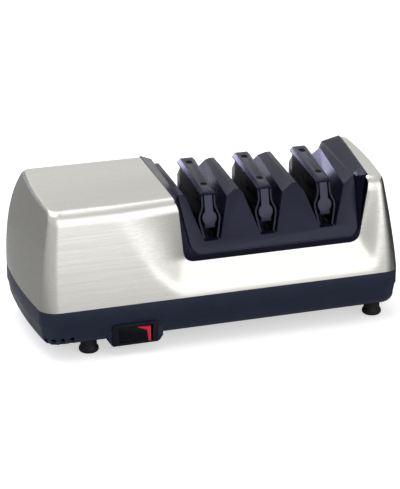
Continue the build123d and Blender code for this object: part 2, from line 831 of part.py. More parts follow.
with BuildPart() as cooling_fan:
    add(along_shaft(fan_hub_r, fan_x, fan_x + fan_width))
    add(along_shaft(fan_r, fan_x, fan_x + fan_blade_wall))
    with BuildSketch(shaft_plane.offset(fan_x)):
        with PolarLocations(0, fan_blades):
            with Locations((fan_r / 2, 0)):
                Rectangle(fan_r, fan_blade_wall)
    extrude(amount=fan_width)
    add(along_shaft(shaft_r + running_gap, fan_x, fan_x + fan_width), mode=Mode.SUBTRACT)
cooling_fan.part.label = "cooling_fan"
export_step(cooling_fan.part, "parts/cooling_fan.step")

tub_top_floor = tub_low_z + tub_floor
with BuildPart() as end_bracket:
    add(box_between((end_bracket_x, -end_bracket_half, tub_top_floor),
                    (end_bracket_x + end_bracket_wall, end_bracket_half, shaft_z)))
    add(along_shaft(end_bracket_half, end_bracket_x, end_bracket_x + end_bracket_wall))
    add(box_between((end_bracket_x, -end_bracket_foot, tub_top_floor),
                    (end_bracket_x + end_bracket_wall, end_bracket_foot, tub_top_floor + bracket_wall)))
    add(along_shaft(bush_r, end_bracket_x, end_bracket_x + end_bracket_wall), mode=Mode.SUBTRACT)
end_bracket.part.label = "end_bearing_bracket"
export_step(end_bracket.part, "parts/end_bearing_bracket.step")

with BuildPart() as end_bush:
    add(along_shaft(bush_r, end_bracket_x, end_bracket_x + bush_length, shaft_r + running_gap))
end_bush.part.label = "end_bush"
export_step(end_bush.part, "parts/end_bush.step")

# ================================================================ base tub
opening_left, opening_right = cover_left + cover_margin, cover_right - cover_margin
opening_half = cover_half_y - cover_margin
cover_top = tub_low_z - cover_gap
cover_low = cover_top - cover_wall
flange_y = bezel_face_y + bezel_flange
rocker_front = rocker_pivot_y - bezel_face_y + rocker_proud
window_half = rocker_half * cos(rocker_tilt) + rocker_front * sin(rocker_tilt) + rocker_gap
window_low, window_high = rocker_low - rocker_gap, rocker_high + rocker_gap
collar_half = window_half + bezel_collar
collar_low, collar_high = window_low - bezel_collar, window_high + bezel_collar
lever_x = stage_x[2]
lever_top = lever_low + lever_wall
tub_round_z = tub_low_z + tub_edge_r
tub_inset = tub_wall + band_step + tub_taper + tub_edge_r * (1 - cos(radians(45)))
inlet_plane = Plane(origin=(inlet_x, rear_reach, inlet_z), x_dir=(1, 0, 0), z_dir=(0, -1, 0))


def pocket_outline():
    """Front outline of the switch pocket, sloping in below the tub, at the bezel's seat."""
    with BuildSketch(Plane.XZ.offset(-flange_y)) as outline:
        with BuildLine():
            Polyline((pocket_left, tub_low_z), (pocket_left + pocket_shoulder, bezel_low),
                     (pocket_right - pocket_shoulder, bezel_low), (pocket_right, tub_low_z),
                     (pocket_right, tub_round_z), (pocket_left, tub_round_z), close=True)
        make_face()
    return outline.sketch


def bezel_outline(y, margin):
    """Front outline of the switch bezel at y, with round top corners."""
    with BuildSketch(Plane.XZ.offset(-y)) as outline:
        with BuildLine():
            Polyline((bezel_left, bezel_low), (bezel_right, bezel_low), (bezel_right, bezel_high),
                     (bezel_left, bezel_high), close=True)
        make_face()
        fillet(outline.vertices().sort_by(Axis.Y)[-2:], bezel_corner_r)
        if margin:
            offset(amount=margin)
    return outline.sketch


def upright(places, radius, low, high):
    """Round posts or holes standing at the given places between two heights."""
    with BuildPart() as posts:
        with BuildSketch(Plane.XY.offset(low)):
            with Locations(*places):
                Circle(radius)
        extrude(amount=high - low)
    return posts.part


with BuildPart() as base_tub:
    # The lower edge is round: its outlines lie on a quarter circle.
    turns = [radians(90) * step / tub_edge_steps for step in range(tub_edge_steps + 1)]
    loft([tub_outline(tub_low_z + tub_edge_r * (1 - cos(turn)),
                      band_step + tub_taper + tub_edge_r * (1 - sin(turn))) for turn in turns])
    loft([tub_outline(tub_round_z, band_step + tub_taper), tub_outline(band_z, band_step)])
    loft([tub_outline(band_z, 0), tub_outline(split_z, 0)])
    extrude(bezel_outline(flange_y, fit_gap), amount=depth, mode=Mode.SUBTRACT)
    extrude(pocket_outline(), amount=flange_y - pocket_rear_y)
    with BuildSketch(inlet_plane.offset(rear_proud)):
        Circle(inlet_flange_r)
    extrude(amount=tub_inset)
    loft([tub_outline(tub_top_floor, tub_inset), tub_outline(split_z, tub_wall)], mode=Mode.SUBTRACT)
    # The bezel's seat and the pocket behind it, which hangs below the tub's floor.
    extrude(bezel_outline(flange_y, 0), amount=-bezel_seat)
    add(box_between((bezel_left, flange_y + bezel_seat, bezel_low + pocket_wall),
                    (bezel_right, pocket_rear_y - pocket_wall, bezel_high)), mode=Mode.SUBTRACT)
    add(box_between((rocker_x - collar_half - fit_gap, -depth, collar_low - fit_gap),
                    (rocker_x + collar_half + fit_gap, flange_y + bezel_seat, collar_high + fit_gap)),
        mode=Mode.SUBTRACT)
    # Screw bosses, the motor's two seats and the lever's pivot post stand on the floor.
    add(upright(foot_places, boss_r, tub_top_floor, split_z))
    add(upright(foot_places, screw_r + running_gap, tub_low_z, split_z), mode=Mode.SUBTRACT)
    for near, far in ((-stator_half_y, -motor_seat_y), (motor_seat_y, stator_half_y)):
        add(box_between((stator_x, near, tub_top_floor), (stator_x + motor_seat_length, far, stator_low)))
    add(upright([(lever_x, lever_pivot_y)], boss_r, tub_top_floor, lever_low))
    add(upright([(lever_x, lever_pivot_y)], lever_pivot_r, lever_low, lever_top + fit_gap))
    add(upright([(lever_x, lever_pivot_y)], screw_r + running_gap, tub_top_floor, lever_top + fit_gap),
        mode=Mode.SUBTRACT)
    # Clean-out opening, with a rail along each side of it for the cover.
    add(box_between((opening_left, -opening_half, tub_low_z), (opening_right, opening_half, tub_top_floor)),
        mode=Mode.SUBTRACT)
    rail_in = cover_half_y + cover_gap
    for side in (-1, 1):
        web = sorted((side * rail_in, side * (rail_in + rail_wall)))
        lip = sorted((side * (rail_in - rail_lip), side * (rail_in + rail_wall)))
        add(box_between((cover_left, web[0], rail_low), (cover_right, web[1], tub_low_z)))
        add(box_between((cover_left, lip[0], rail_low), (cover_right, lip[1], cover_low - cover_gap)))
    # Lever slot and cord hole through the rear wall.
    add(box_between((lever_x - lever_slot_half, lever_pivot_y + lever_hub_r, lever_low - lever_slot_gap),
                    (lever_x + lever_slot_half, depth, lever_top + lever_slot_gap)), mode=Mode.SUBTRACT)
    with BuildSketch(inlet_plane):
        Circle(inlet_r + fit_gap)
    extrude(amount=inlet_length + tub_inset, mode=Mode.SUBTRACT)
    # Round-topped vents, open at the lower edge, which keep their pitch round the left corners.
    corner_x = end_bulge + corner_r - length / 2
    corner_y = depth / 2 - corner_r
    vent_round_z = vent_top_z - vent_width / 2
    for index in range(vent_count):
        x = vent_right_x - vent_pitch * index
        turn = max(0.0, corner_x - x) / (corner_r - tub_taper)
        for side in (-1, 1):
            vent_plane = Plane(origin=(max(x, corner_x), side * corner_y, 0),
                               x_dir=(-side * cos(turn), -sin(turn), 0),
                               z_dir=(-sin(turn), side * cos(turn), 0))
            with BuildSketch(vent_plane.offset(corner_r)):
                with Locations((0, vent_round_z)):
                    Circle(vent_width / 2)
                with Locations((0, vent_round_z / 2)):
                    Rectangle(vent_width, vent_round_z)
            extrude(amount=-vent_depth, mode=Mode.SUBTRACT)
base_tub.part.label = "base_tub"
export_step(base_tub.part, "parts/base_tub.step")

# ================================================================ switch
with BuildPart() as switch_bezel:
    extrude(bezel_outline(flange_y, 0), amount=bezel_flange)
    add(box_between((rocker_x - collar_half, flange_y, collar_low),
                    (rocker_x + collar_half, switch_front_y, collar_high)))
    add(box_between((rocker_x - window_half, bezel_face_y, window_low),
                    (rocker_x + window_half, switch_front_y, window_high)), mode=Mode.SUBTRACT)
    add(upright([(rocker_x, rocker_pivot_y)], rocker_pin_r + running_gap, collar_low, collar_high),
        mode=Mode.SUBTRACT)
switch_bezel.part.label = "switch_bezel"
export_step(switch_bezel.part, "parts/switch_bezel.step")

# The rocker's own frame: x along its face, y towards the rear, its right end tilted forward.
rocker_plane = Plane(origin=(rocker_x, rocker_pivot_y, rocker_low),
                     x_dir=(cos(rocker_tilt), -sin(rocker_tilt), 0), z_dir=(0, 0, 1))
rocker_height = rocker_high - rocker_low

with BuildPart() as rocker_blank:
    with BuildSketch(rocker_plane):
        with BuildLine():
            ThreePointArc((-rocker_half, -rocker_front), (0, rocker_dish - rocker_front),
                          (rocker_half, -rocker_front))
            Polyline((rocker_half, -rocker_front), (rocker_half, -rocker_side),
                     (rocker_back_half, rocker_back), (-rocker_back_half, rocker_back),
                     (-rocker_half, -rocker_side), (-rocker_half, -rocker_front))
        make_face()
    extrude(amount=rocker_height)

# The flag is a thin inlay in the rocker's face: a tapering bar along the top and one down the end.
flag_plane = Plane(origin=(rocker_x, rocker_pivot_y, rocker_low),
                   x_dir=(cos(rocker_tilt), -sin(rocker_tilt), 0),
                   z_dir=(-sin(rocker_tilt), -cos(rocker_tilt), 0)).offset(rocker_front - flag_depth)
with BuildPart() as flag_shape:
    with BuildSketch(flag_plane):
        with BuildLine():
            Polyline((rocker_half, 0), (rocker_half, rocker_height),
                     (rocker_half - flag_length, rocker_height),
                     (rocker_half - flag_width_high, rocker_height - flag_drop),
                     (rocker_half - flag_width_low, 0), close=True)
        make_face()
    extrude(amount=rocker_front)

with BuildPart() as rocker_flag:
    add(rocker_blank.part)
    add(flag_shape.part, mode=Mode.INTERSECT)
rocker_flag.part.label = "rocker_flag"
export_step(rocker_flag.part, "parts/rocker_flag.step")

with BuildPart() as rocker_button:
    add(rocker_blank.part)
    add(flag_shape.part, mode=Mode.SUBTRACT)
    add(upright([(rocker_x, rocker_pivot_y)], rocker_pin_r, rocker_low - rocker_gap - rocker_pin,
                rocker_high + rocker_gap + rocker_pin))
rocker_button.part.label = "rocker_button"
export_step(rocker_button.part, "parts/rocker_button.step")

switch_rear = switch_front_y + switch_depth
with BuildPart() as switch_body:
    seat = bezel_collar / 2
    add(box_between((rocker_x - window_half - seat, switch_front_y, window_low - seat),
                    (rocker_x + window_half + seat, switch_rear, window_high + seat)))
switch_body.part.label = "switch_body"
export_step(switch_body.part, "parts/switch_body.step")

tab_xs = (rocker_x - tab_pitch, rocker_x, rocker_x + tab_pitch)
with BuildPart() as switch_terminals:
    for x in tab_xs:
        add(box_between((x - tab_width / 2, switch_rear, tab_z - tab_wall / 2),
                        (x + tab_width / 2, switch_rear + tab_length, tab_z + tab_wall / 2)))
switch_terminals.part.label = "switch_terminals"
export_step(switch_terminals.part, "parts/switch_terminals.step")

# Each lead runs from one fitting to the next: inlet to switch, switch to coil, coil to inlet.
tab_end = switch_rear + tab_length
inlet_end = rear_reach - inlet_length
coil_end_x = stator_end + coil_gap + coil_wall
coil_rear = window_half_y - coil_gap
coil_lead_x = stator_end + coil_gap + coil_wall / 2
lead_turn_near = inlet_end - lead_run
lead_turn_far = coil_rear + lead_run
lead_routes = (
    ((inlet_x + lead_pitch / 2, inlet_end, inlet_z), (inlet_x + lead_pitch / 2, lead_turn_near, inlet_z),
     (rocker_x, lead_turn_far, tab_z), (rocker_x, tab_end, tab_z)),
    ((rocker_x + tab_pitch, tab_end, tab_z), (rocker_x + tab_pitch, tab_end + lead_run, tab_z),
     (rocker_x + tab_pitch, tab_end + 2 * lead_run, stator_low),
     (coil_end_x, tab_end + 2 * lead_run, stator_low)),
    ((inlet_x - lead_pitch / 2, inlet_end, inlet_z), (inlet_x - lead_pitch / 2, lead_turn_near, inlet_z),
     (coil_lead_x, lead_turn_far, inlet_z), (coil_lead_x, coil_rear, inlet_z)),
)
with BuildPart() as switch_leads:
    for route in lead_routes:
        with BuildLine() as lead_path:
            FilletPolyline(*route, radius=lead_bend)
        with BuildSketch(Plane(origin=lead_path.line @ 0, z_dir=lead_path.line % 0)):
            Circle(lead_r)
        sweep(path=lead_path.line)
switch_leads.part.label = "switch_leads"
export_step(switch_leads.part, "parts/switch_leads.step")

# ================================================================ inlet and feet
with BuildPart() as cord_inlet:
    with BuildSketch(inlet_plane):
        Circle(inlet_flange_r)
    extrude(amount=rear_proud)
    with BuildSketch(inlet_plane):
        Circle(inlet_r)
    extrude(amount=inlet_length)
    with BuildSketch(inlet_plane):
        Circle(inlet_bore_r)
    extrude(amount=inlet_length, mode=Mode.SUBTRACT)
cord_inlet.part.label = "cord_inlet"
export_step(cord_inlet.part, "parts/cord_inlet.step")

hole_r = screw_r + running_gap
recess_r = screw_head_r + fit_gap
for end_name, x in zip(("left", "right"), foot_xs):
    for side_name, y in (("front", -foot_y), ("rear", foot_y)):
        with BuildPart() as foot:
            with BuildSketch(Plane(origin=(x, y, 0), x_dir=(1, 0, 0), z_dir=(0, -1, 0))):
                with BuildLine():
                    Polyline((hole_r, foot_recess), (recess_r, foot_recess), (recess_r, 0),
                             (foot_low_r - foot_edge, 0), (foot_low_r, foot_edge),
                             (foot_low_r, foot_flare_low), (foot_top_r, foot_flare_high),
                             (foot_top_r, foot_height), (hole_r, foot_height), close=True)
                make_face()
            revolve(axis=Axis((x, y, 0), (0, 0, 1)))
        foot.part.label = f"foot_{side_name}_{end_name}"
        export_step(foot.part, f"parts/foot_{side_name}_{end_name}.step")

with BuildPart() as foot_screws:
    add(upright(foot_places, screw_head_r, foot_recess - screw_head, foot_recess))
    add(upright(foot_places, screw_r, foot_recess, split_z + boss_height - boss_r - screw_head))
foot_screws.part.label = "foot_screws"
export_step(foot_screws.part, "parts/foot_screws.step")

# ================================================================ stage three dressing lever
tine_in = tine_half - tine_wall
column_front = lever_back_y - lever_column
with BuildPart() as dressing_lever:
    add(upright([(lever_x, lever_pivot_y)], lever_hub_r, lever_low, lever_top))
    add(box_between((lever_x - lever_half, column_front, lever_low),
                    (lever_x + lever_half, rear_reach, lever_top)))
    add(box_between((lever_x - lever_half, column_front, lever_low),
                    (lever_x + lever_half, lever_back_y, tine_high)))
    add(box_between((lever_x - tine_half, column_front, tine_low),
                    (lever_x + tine_half, lever_back_y, tine_high)))
    for side in (-1, 1):
        tine = sorted((lever_x + side * tine_in, lever_x + side * tine_half))
        add(box_between((tine[0], tine_front_y, tine_low), (tine[1], lever_back_y, tine_high)))
    add(upright([(lever_x, lever_pivot_y)], lever_pivot_r + running_gap, lever_low, lever_top),
        mode=Mode.SUBTRACT)
dressing_lever.part.label = "dressing_lever"
export_step(dressing_lever.part, "parts/dressing_lever.step")

with BuildPart() as dressing_pads:
    for side in (-1, 1):
        pad = sorted((lever_x + side * (tine_in - pad_wall), lever_x + side * tine_in))
        add(box_between((pad[0], tine_front_y, tine_low), (pad[1], tine_front_y + pad_length, tine_high)))
dressing_pads.part.label = "dressing_pads"
export_step(dressing_pads.part, "parts/dressing_pads.step")

with BuildPart() as lever_screw:
    head_low = lever_top + fit_gap
    add(upright([(lever_x, lever_pivot_y)], boss_r, head_low, head_low + screw_head))
    add(upright([(lever_x, lever_pivot_y)], screw_r, tub_top_floor + screw_head, head_low))
lever_screw.part.label = "lever_screw"
export_step(lever_screw.part, "parts/lever_screw.step")

# ================================================================ clean-out cover
with BuildPart() as cleanout_cover:
    add(box_between((cover_left, -cover_half_y, cover_low), (cover_right, cover_half_y, cover_top)))
    for index in range(grip_count):
        x = cover_right - cover_margin - grip_pitch * index
        add(box_between((x - grip_width, -grip_length / 2, cover_low - grip_height),
                        (x, grip_length / 2, cover_low)))
cleanout_cover.part.label = "cleanout_cover"
export_step(cleanout_cover.part, "parts/cleanout_cover.step")

with BuildPart() as dust_magnet:
    add(box_between((magnet_left, -magnet_half_y, cover_top),
                    (magnet_right, magnet_half_y, cover_top + magnet_height)))
dust_magnet.part.label = "dust_magnet"
export_step(dust_magnet.part, "parts/dust_magnet.step")
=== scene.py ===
"""Looks of a three-stage electric knife sharpener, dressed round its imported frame.

Everything is in the frame's own axes: X along the machine from the motor end to the last stage,
Y to the rear and Z up. The part's sizes are written in millimetres and scaled once, by MM. Lamps,
cards and the floor are placed in metres. Leans, slopes and turns are in degrees.
"""

import json
import logging
from dataclasses import dataclass
from enum import Enum
from math import cos, pi, radians, sin, tan
from typing import Any, Sequence

import bmesh
import bpy
import numpy as np
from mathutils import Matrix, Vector


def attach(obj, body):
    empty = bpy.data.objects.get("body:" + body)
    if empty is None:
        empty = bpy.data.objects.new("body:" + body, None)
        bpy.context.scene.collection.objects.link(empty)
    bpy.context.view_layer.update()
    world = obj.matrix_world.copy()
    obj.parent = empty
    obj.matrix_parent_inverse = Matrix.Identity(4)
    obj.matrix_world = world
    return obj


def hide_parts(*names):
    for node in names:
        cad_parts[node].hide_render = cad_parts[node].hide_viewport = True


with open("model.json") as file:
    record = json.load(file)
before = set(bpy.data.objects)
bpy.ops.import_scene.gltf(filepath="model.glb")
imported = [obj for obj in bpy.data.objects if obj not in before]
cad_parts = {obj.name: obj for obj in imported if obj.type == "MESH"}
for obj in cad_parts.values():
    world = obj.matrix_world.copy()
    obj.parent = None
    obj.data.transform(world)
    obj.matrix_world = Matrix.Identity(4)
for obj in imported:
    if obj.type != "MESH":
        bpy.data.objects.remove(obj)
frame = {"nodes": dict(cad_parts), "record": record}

LOG = logging.getLogger("sharpener")
MM = 0.001

# Vertices closer than this are one, and faces that lean less than this, in degrees, are coplanar.
MERGE_MM = 0.002
COPLANAR_ANGLE = 0.5
# Edges sharper than this, in degrees, are rounded, and keep their edge in the shading.
EDGE_ANGLE = 28.0
ROUNDING_SEGMENTS = 3
# Nearly all values of a noise texture lie between these.
NOISE_LOW, NOISE_HIGH = 0.3, 0.7

Point = tuple[float, float, float]
Pair = tuple[float, float]
Colour = tuple[float, float, float, float]
WHITE: Colour = (1.0, 1.0, 1.0, 1.0)


class Body(Enum):
    """Bodies of the frame that the dressed pieces ride on."""

    MACHINE = "machine"
    ROCKER = "rocker"
    LEVER = "lever"
    COVER = "cover"


# ---------------------------------------------------------------- small helpers
def linear(code: str) -> Colour:
    """Turn an sRGB hex colour into linear light.

    Args:
        code: Colour such as "#20202C".

    Returns:
        Red, green, blue and an alpha of one.
    """
    parts = [int(code[start:start + 2], 16) / 255 for start in (1, 3, 5)]
    lit = [part / 12.92 if part <= 0.04045 else ((part + 0.055) / 1.055) ** 2.4 for part in parts]
    return lit[0], lit[1], lit[2], 1.0


def add_node(tree: bpy.types.NodeTree, kind: str, settings: dict[str, Any] | None = None,
             inputs: dict[str | int, Any] | None = None) -> bpy.types.Node:
    """Add a node, set its properties and fill its inputs.

    Args:
        tree: Tree that gets the node.
        kind: Blender's type name of the node.
        settings: Properties by name.
        inputs: Inputs by name or number; a socket is linked and anything else is its value.

    Returns:
        The new node.
    """
    made = tree.nodes.new(kind)
    for name, value in (settings or {}).items():
        setattr(made, name, value)
    for key, value in (inputs or {}).items():
        if isinstance(value, bpy.types.NodeSocket):
            tree.links.new(value, made.inputs[key])
        else:
            made.inputs[key].default_value = value
    return made


def blank_material(name: str) -> tuple[bpy.types.Material, bpy.types.NodeTree]:
    """Make a material with an empty node tree.

    Args:
        name: Name of the finish.

    Returns:
        The material and its tree.
    """
    material = bpy.data.materials.new(name)
    material.use_nodes = True
    material.node_tree.nodes.clear()
    return material, material.node_tree


def mesh_object(name: str, points: Sequence[Sequence[float]], faces: Sequence[Sequence[int]],
                outward: bool = True) -> bpy.types.Object:
    """Make a mesh object at the origin from points in millimetres.

    Args:
        name: Name of the piece.
        points: Places of its vertices in millimetres.
        faces: Vertex numbers of each face.
        outward: Whether to merge doubles and turn the faces outwards.

    Returns:
        The object, linked to the scene.
    """
    mesh = bpy.data.meshes.new(name)
    mesh.from_pydata([tuple(value * MM for value in point) for point in points], [], faces)
    if outward:
        shape = bmesh.new()
        shape.from_mesh(mesh)
        bmesh.ops.remove_doubles(shape, verts=shape.verts, dist=MERGE_MM * MM)
        bmesh.ops.recalc_face_normals(shape, faces=shape.faces)
        shape.to_mesh(mesh)
        shape.free()
    made = bpy.data.objects.new(name, mesh)
    bpy.context.scene.collection.objects.link(made)
    return made


def freeze(piece: bpy.types.Object) -> None:
    """Turn a piece's modifiers into its plain mesh and remove them.

    Args:
        piece: Piece with modifiers.
    """
    bpy.context.view_layer.update()
    evaluated = piece.evaluated_get(bpy.context.evaluated_depsgraph_get())
    mesh = bpy.data.meshes.new_from_object(evaluated)
    piece.modifiers.clear()
    piece.data = mesh


def smooth_by_angle(piece: bpy.types.Object, angle: float = EDGE_ANGLE) -> None:
    """Shade a piece smooth, except across its edges.

    Args:
        piece: Piece to shade.
        angle: Smallest angle between faces, in degrees, that counts as an edge.
    """
    for face in piece.data.polygons:
        face.use_smooth = True
    piece.data.set_sharp_from_angle(angle=radians(angle))


def dress(piece: bpy.types.Object, material: bpy.types.Material, body: Body,
          replaced: Sequence[str] = ()) -> None:
    """Give a finished piece its material, its body and the nodes it stands for.

    Args:
        piece: Finished piece at the origin.
        material: Its finish.
        body: Body that it rides on.
        replaced: Nodes of the frame that it stands for.
    """
    piece.data.materials.clear()
    piece.data.materials.append(material)
    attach(piece, body.value)
    if replaced:
        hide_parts(*replaced)
    LOG.info("%s: %d faces, rides on %s", piece.name, len(piece.data.polygons), body.value)


def cut_away(piece: bpy.types.Object, cutter: bpy.types.Object) -> None:
    """Take a solid away from a piece, and remove the solid.

    Args:
        piece: Piece that is cut.
        cutter: Solid that it loses.
    """
    cut = piece.modifiers.new(cutter.name, "BOOLEAN")
    cut.operation = "DIFFERENCE"
    cut.solver = "EXACT"
    cut.object = cutter
    freeze(piece)
    bpy.data.objects.remove(cutter)


def rounded_path(corners: Sequence[Point], steps: int) -> list[Vector]:
    """Round the corners of an open path.

    Args:
        corners: Two coordinates and the radius of each corner; one without a radius stays sharp.
        steps: Points on each round corner.

    Returns:
        Points of the path.
    """
    path = []
    for index, (across, up, radius) in enumerate(corners):
        here = Vector((across, up))
        if not radius:
            path.append(here)
            continue
        back = (Vector(corners[index - 1][:2]) - here).normalized()
        on = (Vector(corners[index + 1][:2]) - here).normalized()
        reach = radius / tan(back.angle(on) / 2)
        for step in np.linspace(0, 1, steps):
            path.append((here + back * reach) * (1 - step) ** 2 + here * 2 * step * (1 - step)
                        + (here + on * reach) * step ** 2)
    return path


def rounded_copy(source: str, name: str, width_mm: float) -> bpy.types.Object:
    """Copy a node of the frame, join its loose triangles into faces and round its edges.

    Args:
        source: Node of the frame.
        name: Name of the new piece.
        width_mm: Width of the rounding.

    Returns:
        The rounded piece.
    """
    shape = bmesh.new()
    shape.from_mesh(frame["nodes"][source].data)
    bmesh.ops.remove_doubles(shape, verts=shape.verts, dist=MERGE_MM * MM)
    bmesh.ops.dissolve_limit(shape, angle_limit=radians(COPLANAR_ANGLE), verts=shape.verts,
                             edges=shape.edges)
    mesh = bpy.data.meshes.new(name)
    shape.to_mesh(mesh)
    shape.free()
    piece = bpy.data.objects.new(name, mesh)
    bpy.context.scene.collection.objects.link(piece)
    rounding = piece.modifiers.new("rounding", "BEVEL")
    rounding.width = width_mm * MM
    rounding.segments = ROUNDING_SEGMENTS
    rounding.limit_method = "ANGLE"
    rounding.angle_limit = radians(EDGE_ANGLE)
    freeze(piece)
    smooth_by_angle(piece)
    return piece


# ---------------------------------------------------------------- finishes
def blend(tree: bpy.types.NodeTree, share: bpy.types.NodeSocket, dark: str,
          light: str) -> bpy.types.NodeSocket:
    """Mix two colours.

    Args:
        tree: Tree that gets the node.
        share: Share of the light colour.
        dark: Dark colour, as sRGB hex.
        light: Light colour, as sRGB hex.

    Returns:
        The mixed colour.
    """
    return add_node(tree, "ShaderNodeMix", {"data_type": "RGBA"}, {
        0: share, 6: linear(dark), 7: linear(light)}).outputs[2]


def spread(tree: bpy.types.NodeTree, noise: bpy.types.NodeSocket, low: float,
           high: float) -> bpy.types.NodeSocket:
    """Stretch a noise over a range.

    Args:
        tree: Tree that gets the node.
        noise: Noise value.
        low: Result where the noise is low.
        high: Result where the noise is high.

    Returns:
        The stretched value.
    """
    return add_node(tree, "ShaderNodeMapRange", inputs={
        "Value": noise, "From Min": NOISE_LOW, "From Max": NOISE_HIGH,
        "To Min": low, "To Max": high}).outputs["Result"]


def relief(tree: bpy.types.NodeTree, height: bpy.types.NodeSocket, depth_mm: float,
           strength: float = 0.5) -> bpy.types.NodeSocket:
    """Make fine marks from a height.

    Args:
        tree: Tree that gets the node.
        height: Height of the marks, from zero to one.
        depth_mm: Depth of the marks.
        strength: Share of the effect.

    Returns:
        The bumped normal.
    """
    return add_node(tree, "ShaderNodeBump", inputs={
        "Strength": strength, "Distance": depth_mm * MM, "Height": height}).outputs["Normal"]


def shade(tree: bpy.types.NodeTree, inputs: dict[str, Any]) -> None:
    """End a tree in the principled shader and the material's output.

    Args:
        tree: Tree that gets the nodes.
        inputs: Inputs of the shader by name.
    """
    shader = add_node(tree, "ShaderNodeBsdfPrincipled", inputs=inputs)
    add_node(tree, "ShaderNodeOutputMaterial", inputs={"Surface": shader.outputs["BSDF"]})


@dataclass(frozen=True)
class MouldedPlastic:
    """Injection-moulded ABS or nylon: dyed through, with the even fine grain of its mould.

    The grain breaks up reflections slightly, and handling leaves smoother and duller areas, by
    swing to each side of the roughness. Gloss is how strongly it reflects, and the reflections
    take a tint: one other than white is a painted reflection colour, which gives every reflection its
    cast.
    """

    name: str
    dark: str
    light: str
    roughness: float
    swing: float = 0.06
    grain_mm: float = 0.9
    grain_depth_mm: float = 0.02
    mottle_mm: float = 26.0
    ior: float = 1.53
    gloss: float = 0.22
    # Tint of every reflection; a tint other than white is a painted reflection colour.
    reflection_tint: str = "#FFFFFF"

    def build(self) -> bpy.types.Material:
        """Make the material.

        Returns:
            A dielectric with a moulded grain and uneven dullness.
        """
        material, tree = blank_material(self.name)
        place = add_node(tree, "ShaderNodeTexCoord").outputs["Object"]
        grain = add_node(tree, "ShaderNodeTexNoise", inputs={
            "Vector": place, "Scale": 1 / (self.grain_mm * MM), "Detail": 2.0})
        mottle = add_node(tree, "ShaderNodeTexNoise", inputs={
            "Vector": place, "Scale": 1 / (self.mottle_mm * MM), "Detail": 5.0, "Roughness": 0.6})
        shade(tree, {
            "Base Color": blend(tree, mottle.outputs["Fac"], self.dark, self.light),
            "Roughness": spread(tree, mottle.outputs["Fac"], self.roughness - self.swing,
                                self.roughness + self.swing),
            # Specular Tint takes the reflection tint, which paints the colour of the reflections.
            "IOR": self.ior, "Specular IOR Level": self.gloss, "Specular Tint": linear(self.reflection_tint),
            "Normal": relief(tree, grain.outputs["Fac"], self.grain_depth_mm)})
        return material


@dataclass(frozen=True)
class BrushedSteel:
    """Stainless sheet brushed lengthwise with an abrasive belt.

    Fine parallel scratches stretch each highlight across the brushing. The real scratches are
    about 0.1 mm apart, too fine to show, so they are drawn coarser. Between the two values of
    end_facing, the share of X in the normal, the brushing turns from the front's to the ends'.
    """

    name: str
    dark: str
    light: str
    roughness: float = 0.30
    swing: float = 0.05
    scratch_mm: float = 0.55
    run_mm: float = 70.0
    scratch_depth_mm: float = 0.004
    scratch_strength: float = 0.6
    anisotropy: float = 0.45
    end_facing: Pair = (0.55, 0.85)

    def build(self) -> bpy.types.Material:
        """Make the material.

        Returns:
            A metal whose scratches run along X on the top and front, and level on the ends.
        """
        material, tree = blank_material(self.name)
        texture = add_node(tree, "ShaderNodeTexCoord")
        fine, run = 1 / (self.scratch_mm * MM), 1 / (self.run_mm * MM)
        streaks = []
        for scale in ((run, fine, fine), (fine, run, fine)):
            stretched = add_node(tree, "ShaderNodeVectorMath", {"operation": "MULTIPLY"}, {
                0: texture.outputs["Object"], 1: scale})
            streaks.append(add_node(tree, "ShaderNodeTexNoise", inputs={
                "Vector": stretched.outputs["Vector"], "Scale": 1.0, "Detail": 4.0,
                "Roughness": 0.65}).outputs["Fac"])
        normal = add_node(tree, "ShaderNodeSeparateXYZ", inputs={"Vector": texture.outputs["Normal"]})
        facing_end = add_node(tree, "ShaderNodeMath", {"operation": "ABSOLUTE"}, {
            0: normal.outputs["X"]})
        end = add_node(tree, "ShaderNodeMapRange", inputs={
            "Value": facing_end.outputs["Value"], "From Min": self.end_facing[0],
            "From Max": self.end_facing[1]})
        streak = add_node(tree, "ShaderNodeMix", {"data_type": "FLOAT"}, {
            0: end.outputs["Result"], 2: streaks[0], 3: streaks[1]}).outputs[0]
        shade(tree, {
            "Base Color": blend(tree, streak, self.dark, self.light), "Metallic": 1.0,
            "Roughness": spread(tree, streak, self.roughness + self.swing,
                                self.roughness - self.swing),
            "Anisotropic": self.anisotropy,
            "Normal": relief(tree, streak, self.scratch_depth_mm, self.scratch_strength)})
        return material


@dataclass(frozen=True)
class GroundMetal:
    """Bare or plated metal with the fine irregular marks of rolling, grinding or sintering.

    Its roughness swings by a share of itself to each side.
    """

    name: str
    dark: str
    light: str
    roughness: float
    mark_mm: float = 1.2
    depth_mm: float = 0.01
    swing: float = 0.2

    def build(self) -> bpy.types.Material:
        """Make the material.

        Returns:
            A metal with slightly uneven colour and dullness.
        """
        material, tree = blank_material(self.name)
        place = add_node(tree, "ShaderNodeTexCoord").outputs["Object"]
        marks = add_node(tree, "ShaderNodeTexNoise", inputs={
            "Vector": place, "Scale": 1 / (self.mark_mm * MM), "Detail": 4.0,
            "Roughness": 0.7}).outputs["Fac"]
        shade(tree, {
            "Base Color": blend(tree, marks, self.dark, self.light), "Metallic": 1.0,
            "Roughness": spread(tree, marks, self.roughness * (1 - self.swing),
                                self.roughness * (1 + self.swing)),
            "Normal": relief(tree, marks, self.depth_mm)})
        return material


